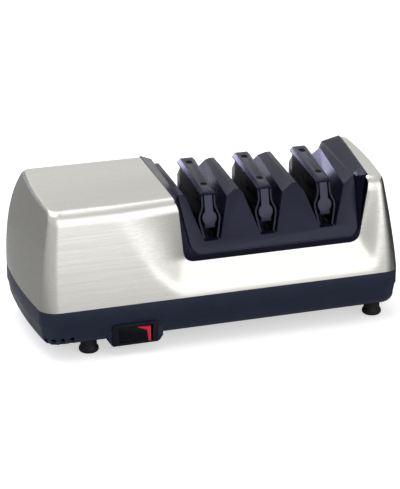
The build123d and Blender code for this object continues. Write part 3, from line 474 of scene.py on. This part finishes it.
def finishes() -> dict[str, bpy.types.Material]:
    """Build every finish once.

    Returns:
        Materials by the record's slot names.
    """
    palette = {
        "housing_steel": BrushedSteel("brushed_stainless_steel", "#B2B1AC", "#CCCBC6"),
        "base_black": MouldedPlastic("grained_navy_abs", "#1B2030", "#252B40", 0.42),
        # The two nylons' bluish reflection tints are a painted reflection colour, a bluish cast on
        # their reflections.
        "guide_black": MouldedPlastic("satin_black_nylon", "#0B0B1A", "#131327", 0.26, grain_mm=0.6,
                                      grain_depth_mm=0.006, gloss=0.29, reflection_tint="#D8DAF4"),
        "post_black": MouldedPlastic("polished_black_nylon", "#12121F", "#1B1B2E", 0.24, grain_mm=0.6,
                                     grain_depth_mm=0.005, gloss=0.38, reflection_tint="#E2E4FF"),
        "spring_steel": GroundMetal("blackened_spring_steel", "#1A1A22", "#2E2E38", 0.32),
        "screw_steel": GroundMetal("blackened_screw_steel", "#1E1E22", "#323238", 0.45),
        "bezel_black": MouldedPlastic("satin_bezel_abs", "#0E1018", "#161925", 0.36, grain_mm=0.7),
        "rocker_black": MouldedPlastic("polished_rocker_nylon", "#08090E", "#0F1118", 0.28,
                                       grain_depth_mm=0.006),
        "flag_red": MouldedPlastic("polished_red_abs", "#C8123A", "#E62A52", 0.25, swing=0.03,
                                   grain_depth_mm=0.004, gloss=0.5),
        "terminal_brass": GroundMetal("tinned_brass", "#B9A36A", "#D2BE86", 0.35),
        "lead_jacket": MouldedPlastic("pvc_lead_jacket", "#1A1A1A", "#242424", 0.5),
        "foot_rubber": MouldedPlastic("moulded_rubber", "#131317", "#1B1B20", 0.58, grain_mm=1.1,
                                      grain_depth_mm=0.04, ior=1.51),
        "lamination_steel": GroundMetal("stamped_lamination_steel", "#4A4A4E", "#66666A", 0.5),
        "coil_copper": GroundMetal("varnished_copper_winding", "#8E4A22", "#B4652F", 0.35, mark_mm=0.6),
        "bracket_steel": GroundMetal("zinc_plated_steel", "#A8A9AB", "#C3C4C6", 0.38, mark_mm=4.0),
        "bush_bronze": GroundMetal("sintered_bronze", "#8B6A3C", "#A9854F", 0.48, mark_mm=0.5),
        "shaft_steel": GroundMetal("ground_shaft_steel", "#BBBBBD", "#D3D3D5", 0.22),
        "fan_plastic": MouldedPlastic("moulded_fan_nylon", "#55555A", "#626268", 0.5),
        "abrasive_steel": GroundMetal("diamond_grit_steel", "#8D8C88", "#B7B6B1", 0.55, mark_mm=0.4,
                                      depth_mm=0.06),
        "lever_plastic": MouldedPlastic("moulded_lever_nylon", "#22242C", "#2C2E38", 0.45),
        "pad_stone": MouldedPlastic("dressing_stone", "#A39C90", "#BFB8AB", 0.85, grain_mm=0.5,
                                    grain_depth_mm=0.08),
        "magnet_ferrite": GroundMetal("sintered_ferrite", "#343436", "#47474A", 0.6),
    }
    return {slot: finish.build() for slot, finish in palette.items()}


# ---------------------------------------------------------------- studio
@dataclass(frozen=True)
class SoftBox:
    """A softbox: a large even area light, given by the brightness of its face."""

    name: str
    place: Point
    aim: Point
    width: float
    height: float
    brightness: float
    gel: str = "#FFFFFF"

    def build(self) -> None:
        """Hang the softbox, facing what it is aimed at."""
        lamp = bpy.data.lights.new(self.name, "AREA")
        lamp.color = linear(self.gel)[:3]
        lamp.shape = "RECTANGLE"
        lamp.size = self.width
        lamp.size_y = self.height
        lamp.energy = self.brightness * pi * self.width * self.height
        holder = bpy.data.objects.new(self.name, lamp)
        holder.location = self.place
        toward = Vector(self.aim) - Vector(self.place)
        holder.rotation_euler = toward.to_track_quat("-Z", "Y").to_euler()
        bpy.context.scene.collection.objects.link(holder)


@dataclass(frozen=True)
class Card:
    """A grey card that only reflections see, which gives the metal something dark to show.

    It stands on the line between two points of the floor, or without a height it lies between
    them, a little above the floor.
    """

    name: str
    start: Pair
    end: Pair
    brightness: float
    height: float = 0.0
    lift: float = 0.001

    def corners(self) -> list[Point]:
        """Give the card's corners.

        Returns:
            Four points in metres, in order round the card.
        """
        (x, y), (far_x, far_y) = self.start, self.end
        if self.height:
            return [(x, y, 0.0), (far_x, far_y, 0.0), (far_x, far_y, self.height), (x, y, self.height)]
        return [(x, y, self.lift), (far_x, y, self.lift), (far_x, far_y, self.lift),
                (x, far_y, self.lift)]

    def build(self) -> None:
        """Put the card in its place."""
        card = mesh_object(self.name, [[value / MM for value in corner] for corner in self.corners()],
                           [(0, 1, 2, 3)], outward=False)
        material, tree = blank_material(f"grey_{self.name}")
        glow = add_node(tree, "ShaderNodeEmission", inputs={"Strength": self.brightness})
        add_node(tree, "ShaderNodeOutputMaterial", inputs={"Surface": glow.outputs[0]})
        card.data.materials.append(material)
        card.visible_camera = False
        card.visible_diffuse = False
        card.visible_shadow = False
        card.visible_transmission = False


SOFT_BOXES = (
    SoftBox("softbox_overhead", (-0.25, 0.15, 1.25), (0.0, 0.0, 0.05), 1.3, 1.0, 1.9),
    SoftBox("softbox_front", (0.55, -1.75, 0.62), (0.0, 0.0, 0.06), 1.5, 1.5, 1.45),
    SoftBox("softbox_rear", (-0.62, 1.6, 0.55), (0.0, 0.0, 0.09), 0.55, 0.5, 11.0, "#D9D8FF"))
CARDS = (
    Card("card_motor_end", (-0.75, 0.24), (-0.13, 0.24), 0.36, height=0.36),
    Card("card_floor_left", (-0.75, -0.34), (-0.135, 0.24), 0.40),
    Card("card_floor_front", (-0.13, -0.34), (0.45, -0.06), 0.18),
    Card("card_floor_right", (0.14, -0.05), (0.7, 0.5), 0.03),
    Card("card_last_stage", (0.34, -0.16), (0.75, 0.45), 0.03, height=0.34))


@dataclass
class Studio:
    """White sweep, soft lamps, grey cards and the camera."""

    floor_half: float = 6.0
    floor_colour: str = "#E6E6E6"
    floor_glow: float = 0.55
    room_level: float = 0.55
    target_mm: Point = (-0.63, 0.0, 49.45)
    azimuth: float = -18.75
    elevation: float = 20.65
    distance_mm: float = 1334.6
    focal_px: float = 1969.2
    picture_px: float = 489.0
    sensor_mm: float = 36.0
    clip: Pair = (0.05, 50.0)

    def build(self) -> None:
        """Make the whole studio."""
        self.world()
        self.floor()
        self.camera()
        for item in SOFT_BOXES + CARDS:
            item.build()
        bpy.context.scene.view_settings.view_transform = "Standard"

    def seen_directly(self, tree: bpy.types.NodeTree) -> bpy.types.NodeSocket:
        """Tell rays that show the background from rays that light the object.

        Args:
            tree: Tree that gets the nodes.

        Returns:
            A socket that is one for camera, glossy and transmission rays.
        """
        rays = add_node(tree, "ShaderNodeLightPath")
        mirrored = add_node(tree, "ShaderNodeMath", {"operation": "MAXIMUM"}, {
            0: rays.outputs["Is Glossy Ray"], 1: rays.outputs["Is Transmission Ray"]})
        seen = add_node(tree, "ShaderNodeMath", {"operation": "MAXIMUM"}, {
            0: rays.outputs["Is Camera Ray"], 1: mirrored.outputs["Value"]})
        return seen.outputs["Value"]

    def world(self) -> None:
        """Light the room evenly, and show it white."""
        world = bpy.data.worlds.new("white_sweep")
        bpy.context.scene.world = world
        world.use_nodes = True
        tree = world.node_tree
        tree.nodes.clear()
        lit, white = (add_node(tree, "ShaderNodeBackground", inputs={"Color": WHITE, "Strength": level})
                      for level in (self.room_level, 1.0))
        mixed = add_node(tree, "ShaderNodeMixShader", inputs={
            0: self.seen_directly(tree), 1: lit.outputs["Background"], 2: white.outputs["Background"]})
        add_node(tree, "ShaderNodeOutputWorld", inputs={"Surface": mixed.outputs["Shader"]})

    def floor(self) -> None:
        """Lay the sweep's floor, which is white to the eye and still takes the shadow."""
        half = self.floor_half / MM
        plane = mesh_object("studio_floor", [(-half, -half, 0), (half, -half, 0), (half, half, 0),
                                             (-half, half, 0)], [(0, 1, 2, 3)], outward=False)
        material, tree = blank_material("matt_white_sweep")
        matt = add_node(tree, "ShaderNodeBsdfDiffuse", inputs={"Color": linear(self.floor_colour)})
        glow = add_node(tree, "ShaderNodeEmission", inputs={"Strength": self.floor_glow})
        lifted = add_node(tree, "ShaderNodeAddShader", inputs={0: matt.outputs[0], 1: glow.outputs[0]})
        camera = add_node(tree, "ShaderNodeLightPath").outputs["Is Camera Ray"]
        mixed = add_node(tree, "ShaderNodeMixShader", inputs={
            0: camera, 1: matt.outputs[0], 2: lifted.outputs[0]})
        add_node(tree, "ShaderNodeOutputMaterial", inputs={"Surface": mixed.outputs[0]})
        plane.data.materials.append(material)

    def camera(self) -> None:
        """Set the camera at the front left, above the object."""
        turn, rise = radians(self.azimuth), radians(self.elevation)
        back = Vector((sin(turn) * cos(rise), -cos(turn) * cos(rise), sin(rise)))
        eye = bpy.data.cameras.new("camera")
        eye.sensor_width = self.sensor_mm
        eye.lens = self.focal_px * self.sensor_mm / self.picture_px
        eye.clip_start, eye.clip_end = self.clip
        holder = bpy.data.objects.new("camera", eye)
        holder.location = Vector(self.target_mm) * MM + back * self.distance_mm * MM
        holder.rotation_euler = (-back).to_track_quat("-Z", "Y").to_euler()
        bpy.context.scene.collection.objects.link(holder)
        bpy.context.scene.camera = holder


# ---------------------------------------------------------------- housing
@dataclass
class Housing:
    """Pressed steel shell: leaning faces, soft creases and the swoop that falls to the module.

    A fall is how far a face is drawn in at the top, and the power with which that grows. The
    swoop's edges and its floor's edges are given as X at its three heights, and the recess as X and
    Z of its corners.
    """

    length: float = 254.0
    depth: float = 108.0
    height: float = 107.0
    split_z: float = 35.1
    corner_r: float = 12.0
    corner_fade: float = 6.0
    end_bulge: float = 2.0
    wall: float = 1.6
    front_lean: float = 9.9
    rear_fall: Pair = (25.0, 3.2)
    end_fall_front: Pair = (11.0, 1.3)
    end_fall_rear: Pair = (9.0, 1.9)
    top_slope: float = 7.1
    top_rear_y: float = 29.0
    crease_front: float = 8.5
    crease_end: float = 3.2
    crease_rear: float = 4.0
    apron_lean: float = 28.7
    swoop_z: Sequence[float] = (40.2, 56.0, 115.0)
    swoop_left: Sequence[float] = (-32.0, -49.0, -85.0)
    swoop_left_floor: Sequence[float] = (-31.0, -26.5, -34.0)
    swoop_right_floor: Sequence[float] = (105.0, 96.5, 112.0)
    swoop_right: Sequence[float] = (106.0, 109.0, 115.5)
    softness: float = 2.6
    recess_corner_r: float = 8.0
    recess: Sequence[Pair] = (
        (-34.0, 106.0), (-29.5, 91.0), (-26.5, 56.0), (96.5, 56.0), (104.6, 97.0), (112.0, 106.0))
    recess_steps: int = 9
    recess_spare: float = 12.0
    wall_rows: int = 52
    crease_rows: int = 8
    top_rows: int = 10
    long_columns: int = 190
    end_columns: int = 26
    corner_columns: int = 14
    ridge_half: float = 85.0
    soft_reach: float = 2.0
    soft_samples: int = 7
    crest_start: float = 99.0
    crest_rounds: int = 40
    probe: float = 1.0
    shading_angle: float = 35.0

    def front_y(self, z: np.ndarray) -> np.ndarray:
        """Give the front face's place.

        Args:
            z: Heights.

        Returns:
            Y of the face at those heights.
        """
        return -self.depth / 2 + (z - self.split_z) * tan(radians(self.front_lean))

    def drawn_in(self, z: np.ndarray, curve: Pair) -> np.ndarray:
        """Give how far a rounded face is drawn in.

        Args:
            z: Heights.
            curve: Distance at the full height, and the power with which it grows.

        Returns:
            Distances in millimetres.
        """
        share = np.clip((z - self.split_z) / (self.height - self.split_z), 0.0, None)
        return curve[0] * share ** curve[1]

    def fall(self, x: np.ndarray, z: np.ndarray) -> np.ndarray:
        """Give how far the swoop sets the front face back.

        Args:
            x: Places along the machine.
            z: Heights.

        Returns:
            Distance to the rear, zero outside the swoop.
        """
        slope = tan(radians(self.apron_lean)) - tan(radians(self.front_lean))
        deepest = (self.swoop_z[1] - self.swoop_z[0]) * slope
        left = np.interp(z, self.swoop_z, self.swoop_left)
        left_floor = np.interp(z, self.swoop_z, self.swoop_left_floor)
        right = np.interp(z, self.swoop_z, self.swoop_right)
        right_floor = np.interp(z, self.swoop_z, self.swoop_right_floor)
        floor = np.interp(z, self.swoop_z, (0.0, deepest, 0.0))
        rise = np.clip((x - left) / (left_floor - left), 0, 1)
        drop = np.clip((right - x) / (right - right_floor), 0, 1)
        return floor * rise * drop

    def soft_fall(self, x: np.ndarray, z: np.ndarray) -> np.ndarray:
        """Soften the swoop's creases, as the press tool does.

        Args:
            x: Places along the machine.
            z: Heights.

        Returns:
            Distance to the rear, averaged over a soft neighbourhood.
        """
        steps = np.linspace(-self.soft_reach, self.soft_reach, self.soft_samples)
        weights = np.exp(-steps ** 2 / 2)
        total = np.zeros_like(x)
        for dx, wx in zip(steps, weights):
            for dz, wz in zip(steps, weights):
                total += wx * wz * self.fall(x + dx * self.softness, z + dz * self.softness)
        return total / weights.sum() ** 2

    def outline(self, z: np.ndarray) -> tuple[np.ndarray, np.ndarray]:
        """Give the plan outline: straight front and rear, bulged ends and round corners.

        Args:
            z: Height of each column of the outline, in the outline's own order.

        Returns:
            X and Y of every column.
        """
        straight = self.length / 2 - self.end_bulge
        half_front = straight - self.drawn_in(z, self.end_fall_front)
        half_rear = straight - self.drawn_in(z, self.end_fall_rear)
        front = self.front_y(z)
        rear = self.depth / 2 - self.drawn_in(z, self.rear_fall)
        side, share = self.columns()
        x, y = np.zeros_like(z), np.zeros_like(z)
        radius = self.corner_r - self.drawn_in(z, (self.corner_fade, 1.0))
        turn = share * pi / 2
        for kind, sy in (("front", -1), ("rear", 1)):
            on = side == kind
            half = half_front if sy < 0 else half_rear
            x[on] = -sy * (share[on] * 2 - 1) * (half - radius)[on]
            y[on] = (front if sy < 0 else rear)[on]
        for kind, sign in (("right", 1), ("left", -1)):
            on = side == kind
            low, high = (front + radius)[on], (rear - radius)[on]
            along = share[on] if sign > 0 else 1 - share[on]
            y[on] = low + along * (high - low)
            straight_x = half_front[on] + along * (half_rear - half_front)[on]
            x[on] = sign * (straight_x + self.end_bulge * (1 - (2 * along - 1) ** 2))
        corners = {"front_right": (1, -1), "rear_right": (1, 1), "rear_left": (-1, 1),
                   "front_left": (-1, -1)}
        for kind, (sx, sy) in corners.items():
            on = side == kind
            opening = kind in ("front_right", "rear_left")
            a = turn[on] if opening else pi / 2 - turn[on]
            r = radius[on]
            half = (half_front if sy < 0 else half_rear)[on]
            x[on] = sx * (half - r + r * np.sin(a))
            edge = front[on] if sy < 0 else rear[on]
            y[on] = edge - sy * (r - r * np.cos(a))
        return x, y

    def columns(self) -> tuple[np.ndarray, np.ndarray]:
        """Divide the outline into columns, going round from the front left.

        Returns:
            The stretch of each column and its share of the way along that stretch.
        """
        along, end, corner = self.long_columns, self.end_columns, self.corner_columns
        counts = {"front": along, "front_right": corner, "right": end, "rear_right": corner,
                  "rear": along, "rear_left": corner, "left": end, "front_left": corner}
        side = np.array([kind for kind, count in counts.items() for _ in range(count)])
        share = np.concatenate([np.arange(count) / count for count in counts.values()])
        return side, share

    def wall_point(self, z: np.ndarray) -> np.ndarray:
        """Give points of the wall, one for each column.

        Args:
            z: Height of each column's point.

        Returns:
            An array of X, Y and Z, in millimetres.
        """
        x, y = self.outline(z)
        front = y < 0
        y = np.where(front, y + self.soft_fall(x, z), y)
        return np.stack([x, y, z], axis=1)

    def top_z(self, y: np.ndarray) -> np.ndarray:
        """Give the height of the sloping top.

        Args:
            y: Places from front to rear.

        Returns:
            Heights at those places.
        """
        return self.height + (y - self.top_rear_y) * tan(radians(self.top_slope))

    def shell(self) -> bpy.types.Object:
        """Build the outer skin from its columns.

        Returns:
            The open skin, before its wall and its recess.
        """
        side, share = self.columns()
        # The wall meets the sloping top at the crest, which is found by going to and fro.
        crest = np.full(len(side), self.crest_start)
        for _ in range(self.crest_rounds):
            crest = self.top_z(self.wall_point(crest)[:, 1])
        edge = self.wall_point(crest)
        up = edge - self.wall_point(crest - self.probe)
        up /= np.linalg.norm(up, axis=1)[:, None]
        # The front and rear columns meet in pairs along a ridge line in the flat top.
        along = np.select([side == "front", side == "rear", np.char.find(side, "right") >= 0],
                          [2 * share - 1, 1 - 2 * share, 1.0], -1.0)
        middle = np.zeros_like(edge)
        middle[:, 0] = along * self.ridge_half
        middle[:, 2] = self.top_z(middle[:, 1])
        inward = middle - edge
        inward /= np.linalg.norm(inward, axis=1)[:, None]
        soft = np.select([side == "front", side == "rear", (side == "left") | (side == "right")],
                         [self.crease_front, self.crease_rear, self.crease_end], np.nan)
        known = ~np.isnan(soft)
        index = np.arange(len(side))
        soft = np.interp(index, index[known], soft[known], period=len(side))
        start = crest - soft * up[:, 2]
        rows = []
        for step in np.linspace(0, 1, self.wall_rows):
            rows.append(self.wall_point(self.split_z + (start - self.split_z) * step))
        low, high = rows[-1], edge + inward * soft[:, None]
        for step in np.linspace(0, 1, self.crease_rows + 1)[1:]:
            rows.append((1 - step) ** 2 * low + 2 * step * (1 - step) * edge + step ** 2 * high)
        for step in np.linspace(0, 1, self.top_rows + 1)[1:]:
            rows.append(high + (middle - high) * step)
        count = len(side)
        faces = [(row * count + index, row * count + (index + 1) % count,
                  (row + 1) * count + (index + 1) % count, (row + 1) * count + index)
                 for row in range(len(rows) - 1) for index in range(count)]
        return mesh_object("housing_shell", np.concatenate(rows).tolist(), faces)

    def recess_cutter(self) -> bpy.types.Object:
        """Build the prism of the module's recess, with round lower corners and knees.

        Returns:
            A closed prism that runs through the housing from front to rear.
        """
        above = self.height + self.recess_spare
        corners = [(self.recess[0][0], above, 0.0)]
        corners += [(x, z, self.recess_corner_r) for x, z in self.recess]
        corners += [(self.recess[-1][0], above, 0.0)]
        outline = rounded_path(corners, self.recess_steps)
        count = len(outline)
        points = [(p.x, y, p.y) for y in (-self.depth, self.depth) for p in outline]
        faces = [tuple(range(count)), tuple(range(2 * count - 1, count - 1, -1))]
        faces += [(i, i + count, (i + 1) % count + count, (i + 1) % count) for i in range(count)]
        return mesh_object("recess_cutter", points, faces)

    def build(self, palette: dict[str, bpy.types.Material]) -> None:
        """Press the shell, give it its wall, cut its recess and brush it.

        Args:
            palette: Finishes by slot.
        """
        piece = self.shell()
        wall = piece.modifiers.new("wall", "SOLIDIFY")
        wall.thickness = self.wall * MM
        wall.offset = -1.0
        freeze(piece)
        cut_away(piece, self.recess_cutter())
        smooth_by_angle(piece, self.shading_angle)
        dress(piece, palette["housing_steel"], Body.MACHINE, ("top_housing",))


# ---------------------------------------------------------------- moulded pieces
@dataclass(frozen=True)
class Moulding:
    """A moulded piece that follows its node, with its edges rounded as the mould rounds them."""

    node: str
    slot: str
    body: Body = Body.MACHINE
    rounding_mm: float = 0.5

    def build(self, palette: dict[str, bpy.types.Material]) -> None:
        """Round the node's edges and dress the result.

        Args:
            palette: Finishes by slot.
        """
        piece = rounded_copy(self.node, f"{self.node}_moulding", self.rounding_mm)
        dress(piece, palette[self.slot], self.body, (self.node,))


@dataclass
class GuideModule:
    """Moulded guide block: its node's shape with round edges and the groove round its body.

    The groove lies on the leaning front face, along the corners of the body, which are given as X,
    Z and radius.
    """

    rounding_mm: float = 0.9
    slot_floor_z: float = 67.0
    face_y: float = -39.31
    face_z: float = 67.48
    lean: float = 28.7
    body: Sequence[Point] = (
        (-24.3, 97.0, 0.0), (-24.3, 91.0, 2.0), (-20.7, 59.6, 8.5), (97.1, 59.6, 8.5),
        (100.7, 91.0, 2.0), (100.7, 97.0, 0.0))
    corner_steps: int = 7
    groove_half: float = 0.5
    groove_depth: float = 1.1
    groove_over: float = 4.0

    def groove(self) -> bpy.types.Object:
        """Build what the groove takes away, swept round the body on its leaning face.

        Returns:
            A closed prism with a square section.
        """
        rise = 1 / cos(radians(self.lean))
        path = rounded_path([(x, (z - self.slot_floor_z) * rise, radius) for x, z, radius in self.body],
                            self.corner_steps)
        upward = Vector((0, sin(radians(self.lean)), cos(radians(self.lean))))
        outward = Vector((0, -cos(radians(self.lean)), sin(radians(self.lean))))
        base = Vector((0, self.face_y, self.face_z))
        points = []
        for index, place in enumerate(path):
            ahead = path[min(index + 1, len(path) - 1)] - path[max(index - 1, 0)]
            side = Vector((-ahead.y, ahead.x)).normalized()
            for across, deep in ((-1, -self.groove_depth), (1, -self.groove_depth),
                                 (1, self.groove_over), (-1, self.groove_over)):
                spot = place + side * self.groove_half * across
                points.append(base + Vector((spot.x, 0, 0)) + upward * spot.y + outward * deep)
        last = 4 * (len(path) - 1)
        faces = [(0, 1, 2, 3), (last + 3, last + 2, last + 1, last)]
        faces += [(4 * i + j, 4 * i + (j + 1) % 4, 4 * i + 4 + (j + 1) % 4, 4 * i + 4 + j)
                  for i in range(len(path) - 1) for j in range(4)]
        return mesh_object("body_groove", points, faces)

    def build(self, palette: dict[str, bpy.types.Material]) -> None:
        """Round the block's edges and cut its groove.

        Args:
            palette: Finishes by slot.
        """
        piece = rounded_copy("guide_module", "guide_module_moulding", self.rounding_mm)
        cut_away(piece, self.groove())
        smooth_by_angle(piece)
        dress(piece, palette["guide_black"], Body.MACHINE, ("guide_module",))


def mouldings() -> list[Moulding]:
    """List the pieces whose shape is right and that need only round edges.

    Returns:
        The mouldings, in the order in which they are built.
    """
    listed = [Moulding("base_tub", "base_black"),
              Moulding("switch_bezel", "bezel_black"),
              Moulding("rocker_button", "rocker_black", Body.ROCKER, 0.4),
              Moulding("dressing_lever", "lever_plastic", Body.LEVER),
              Moulding("cleanout_cover", "base_black", Body.COVER, 0.4),
              Moulding("cord_inlet", "foot_rubber", rounding_mm=0.6)]
    for number in (1, 2, 3):
        listed.append(Moulding(f"guide_post_{number}", "post_black", rounding_mm=0.45))
        listed.append(Moulding(f"post_cap_{number}", "post_black", rounding_mm=0.45))
    for end in ("left", "right"):
        for side in ("front", "rear"):
            listed.append(Moulding(f"foot_{side}_{end}", "foot_rubber", rounding_mm=0.6))
    return listed


# ---------------------------------------------------------------- repeated pieces
def repeat_tree() -> bpy.types.NodeTree:
    """Make the Geometry Nodes tree that repeats one slice along a line.

    Returns:
        A tree with the inputs Count, Offset and Material.
    """
    tree = bpy.data.node_groups.new("repeat_along_line", "GeometryNodeTree")
    for name, kind in (("Geometry", "NodeSocketGeometry"), ("Count", "NodeSocketInt"),
                       ("Offset", "NodeSocketVector"), ("Material", "NodeSocketMaterial")):
        tree.interface.new_socket(name=name, in_out="INPUT", socket_type=kind)
    tree.interface.new_socket(name="Geometry", in_out="OUTPUT", socket_type="NodeSocketGeometry")
    given = add_node(tree, "NodeGroupInput")
    line = add_node(tree, "GeometryNodeMeshLine", inputs={
        "Count": given.outputs["Count"], "Offset": given.outputs["Offset"]})
    copies = add_node(tree, "GeometryNodeInstanceOnPoints", inputs={
        "Points": line.outputs["Mesh"], "Instance": given.outputs["Geometry"]})
    solid = add_node(tree, "GeometryNodeRealizeInstances", inputs={
        "Geometry": copies.outputs["Instances"]})
    finished = add_node(tree, "GeometryNodeSetMaterial", inputs={
        "Geometry": solid.outputs["Geometry"], "Material": given.outputs["Material"]})
    add_node(tree, "NodeGroupOutput", inputs={"Geometry": finished.outputs["Geometry"]})
    return tree


@dataclass(frozen=True)
class Stack:
    """A piece made of equal layers, such as stamped plates or turns of wire.

    Its node is one plain block, so one thin slice of the block is repeated along the stack.
    """

    node: str
    slot: str
    axis: int
    count: int
    fill: float

    def build(self, palette: dict[str, bpy.types.Material], tree: bpy.types.NodeTree) -> None:
        """Flatten the node's mesh to one slice and repeat it.

        Args:
            palette: Finishes by slot.
            tree: Tree that repeats a slice.
        """
        mesh = frame["nodes"][self.node].data.copy()
        mesh.name = f"{self.node}_layers"
        piece = bpy.data.objects.new(mesh.name, mesh)
        bpy.context.scene.collection.objects.link(piece)
        places = [vertex.co[self.axis] for vertex in mesh.vertices]
        low, pitch = min(places), (max(places) - min(places)) / self.count
        for vertex in mesh.vertices:
            vertex.co[self.axis] = low + (vertex.co[self.axis] - low) * self.fill / self.count
        repeat = piece.modifiers.new("layers", "NODES")
        repeat.node_group = tree
        offset = [pitch if axis == self.axis else 0.0 for axis in range(3)]
        values = {"Count": self.count, "Offset": offset, "Material": palette[self.slot]}
        for item in tree.interface.items_tree:
            if item.item_type == "SOCKET" and item.in_out == "INPUT" and item.name in values:
                repeat[item.identifier] = values[item.name]
        freeze(piece)
        smooth_by_angle(piece)
        dress(piece, palette[self.slot], Body.MACHINE, (self.node,))


STACKS = (Stack("motor_stator", "lamination_steel", 0, 24, 0.92),
          Stack("motor_coil", "coil_copper", 1, 34, 0.9))


def dress_frame(palette: dict[str, bpy.types.Material]) -> None:
    """Give every node that still shows its procedural finish.

    Args:
        palette: Finishes by slot.
    """
    slots = {part["node"]: part["material_slot"] for part in frame["record"]["subparts"]}
    for name, item in frame["nodes"].items():
        if item.hide_render:
            continue
        item.data.materials.clear()
        item.data.materials.append(palette[slots[name]])
        LOG.info("%s keeps its own mesh, in %s", name, slots[name])


def main() -> None:
    """Build the studio and the sharpener, piece by piece."""
    logging.basicConfig(level=logging.INFO, format="%(message)s")
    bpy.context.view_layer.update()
    palette = finishes()
    Studio().build()
    Housing().build(palette)
    GuideModule().build(palette)
    for moulding in mouldings():
        moulding.build(palette)
    layers = repeat_tree()
    for stack in STACKS:
        stack.build(palette, layers)
    dress_frame(palette)


if __name__ == "__main__":
    main()
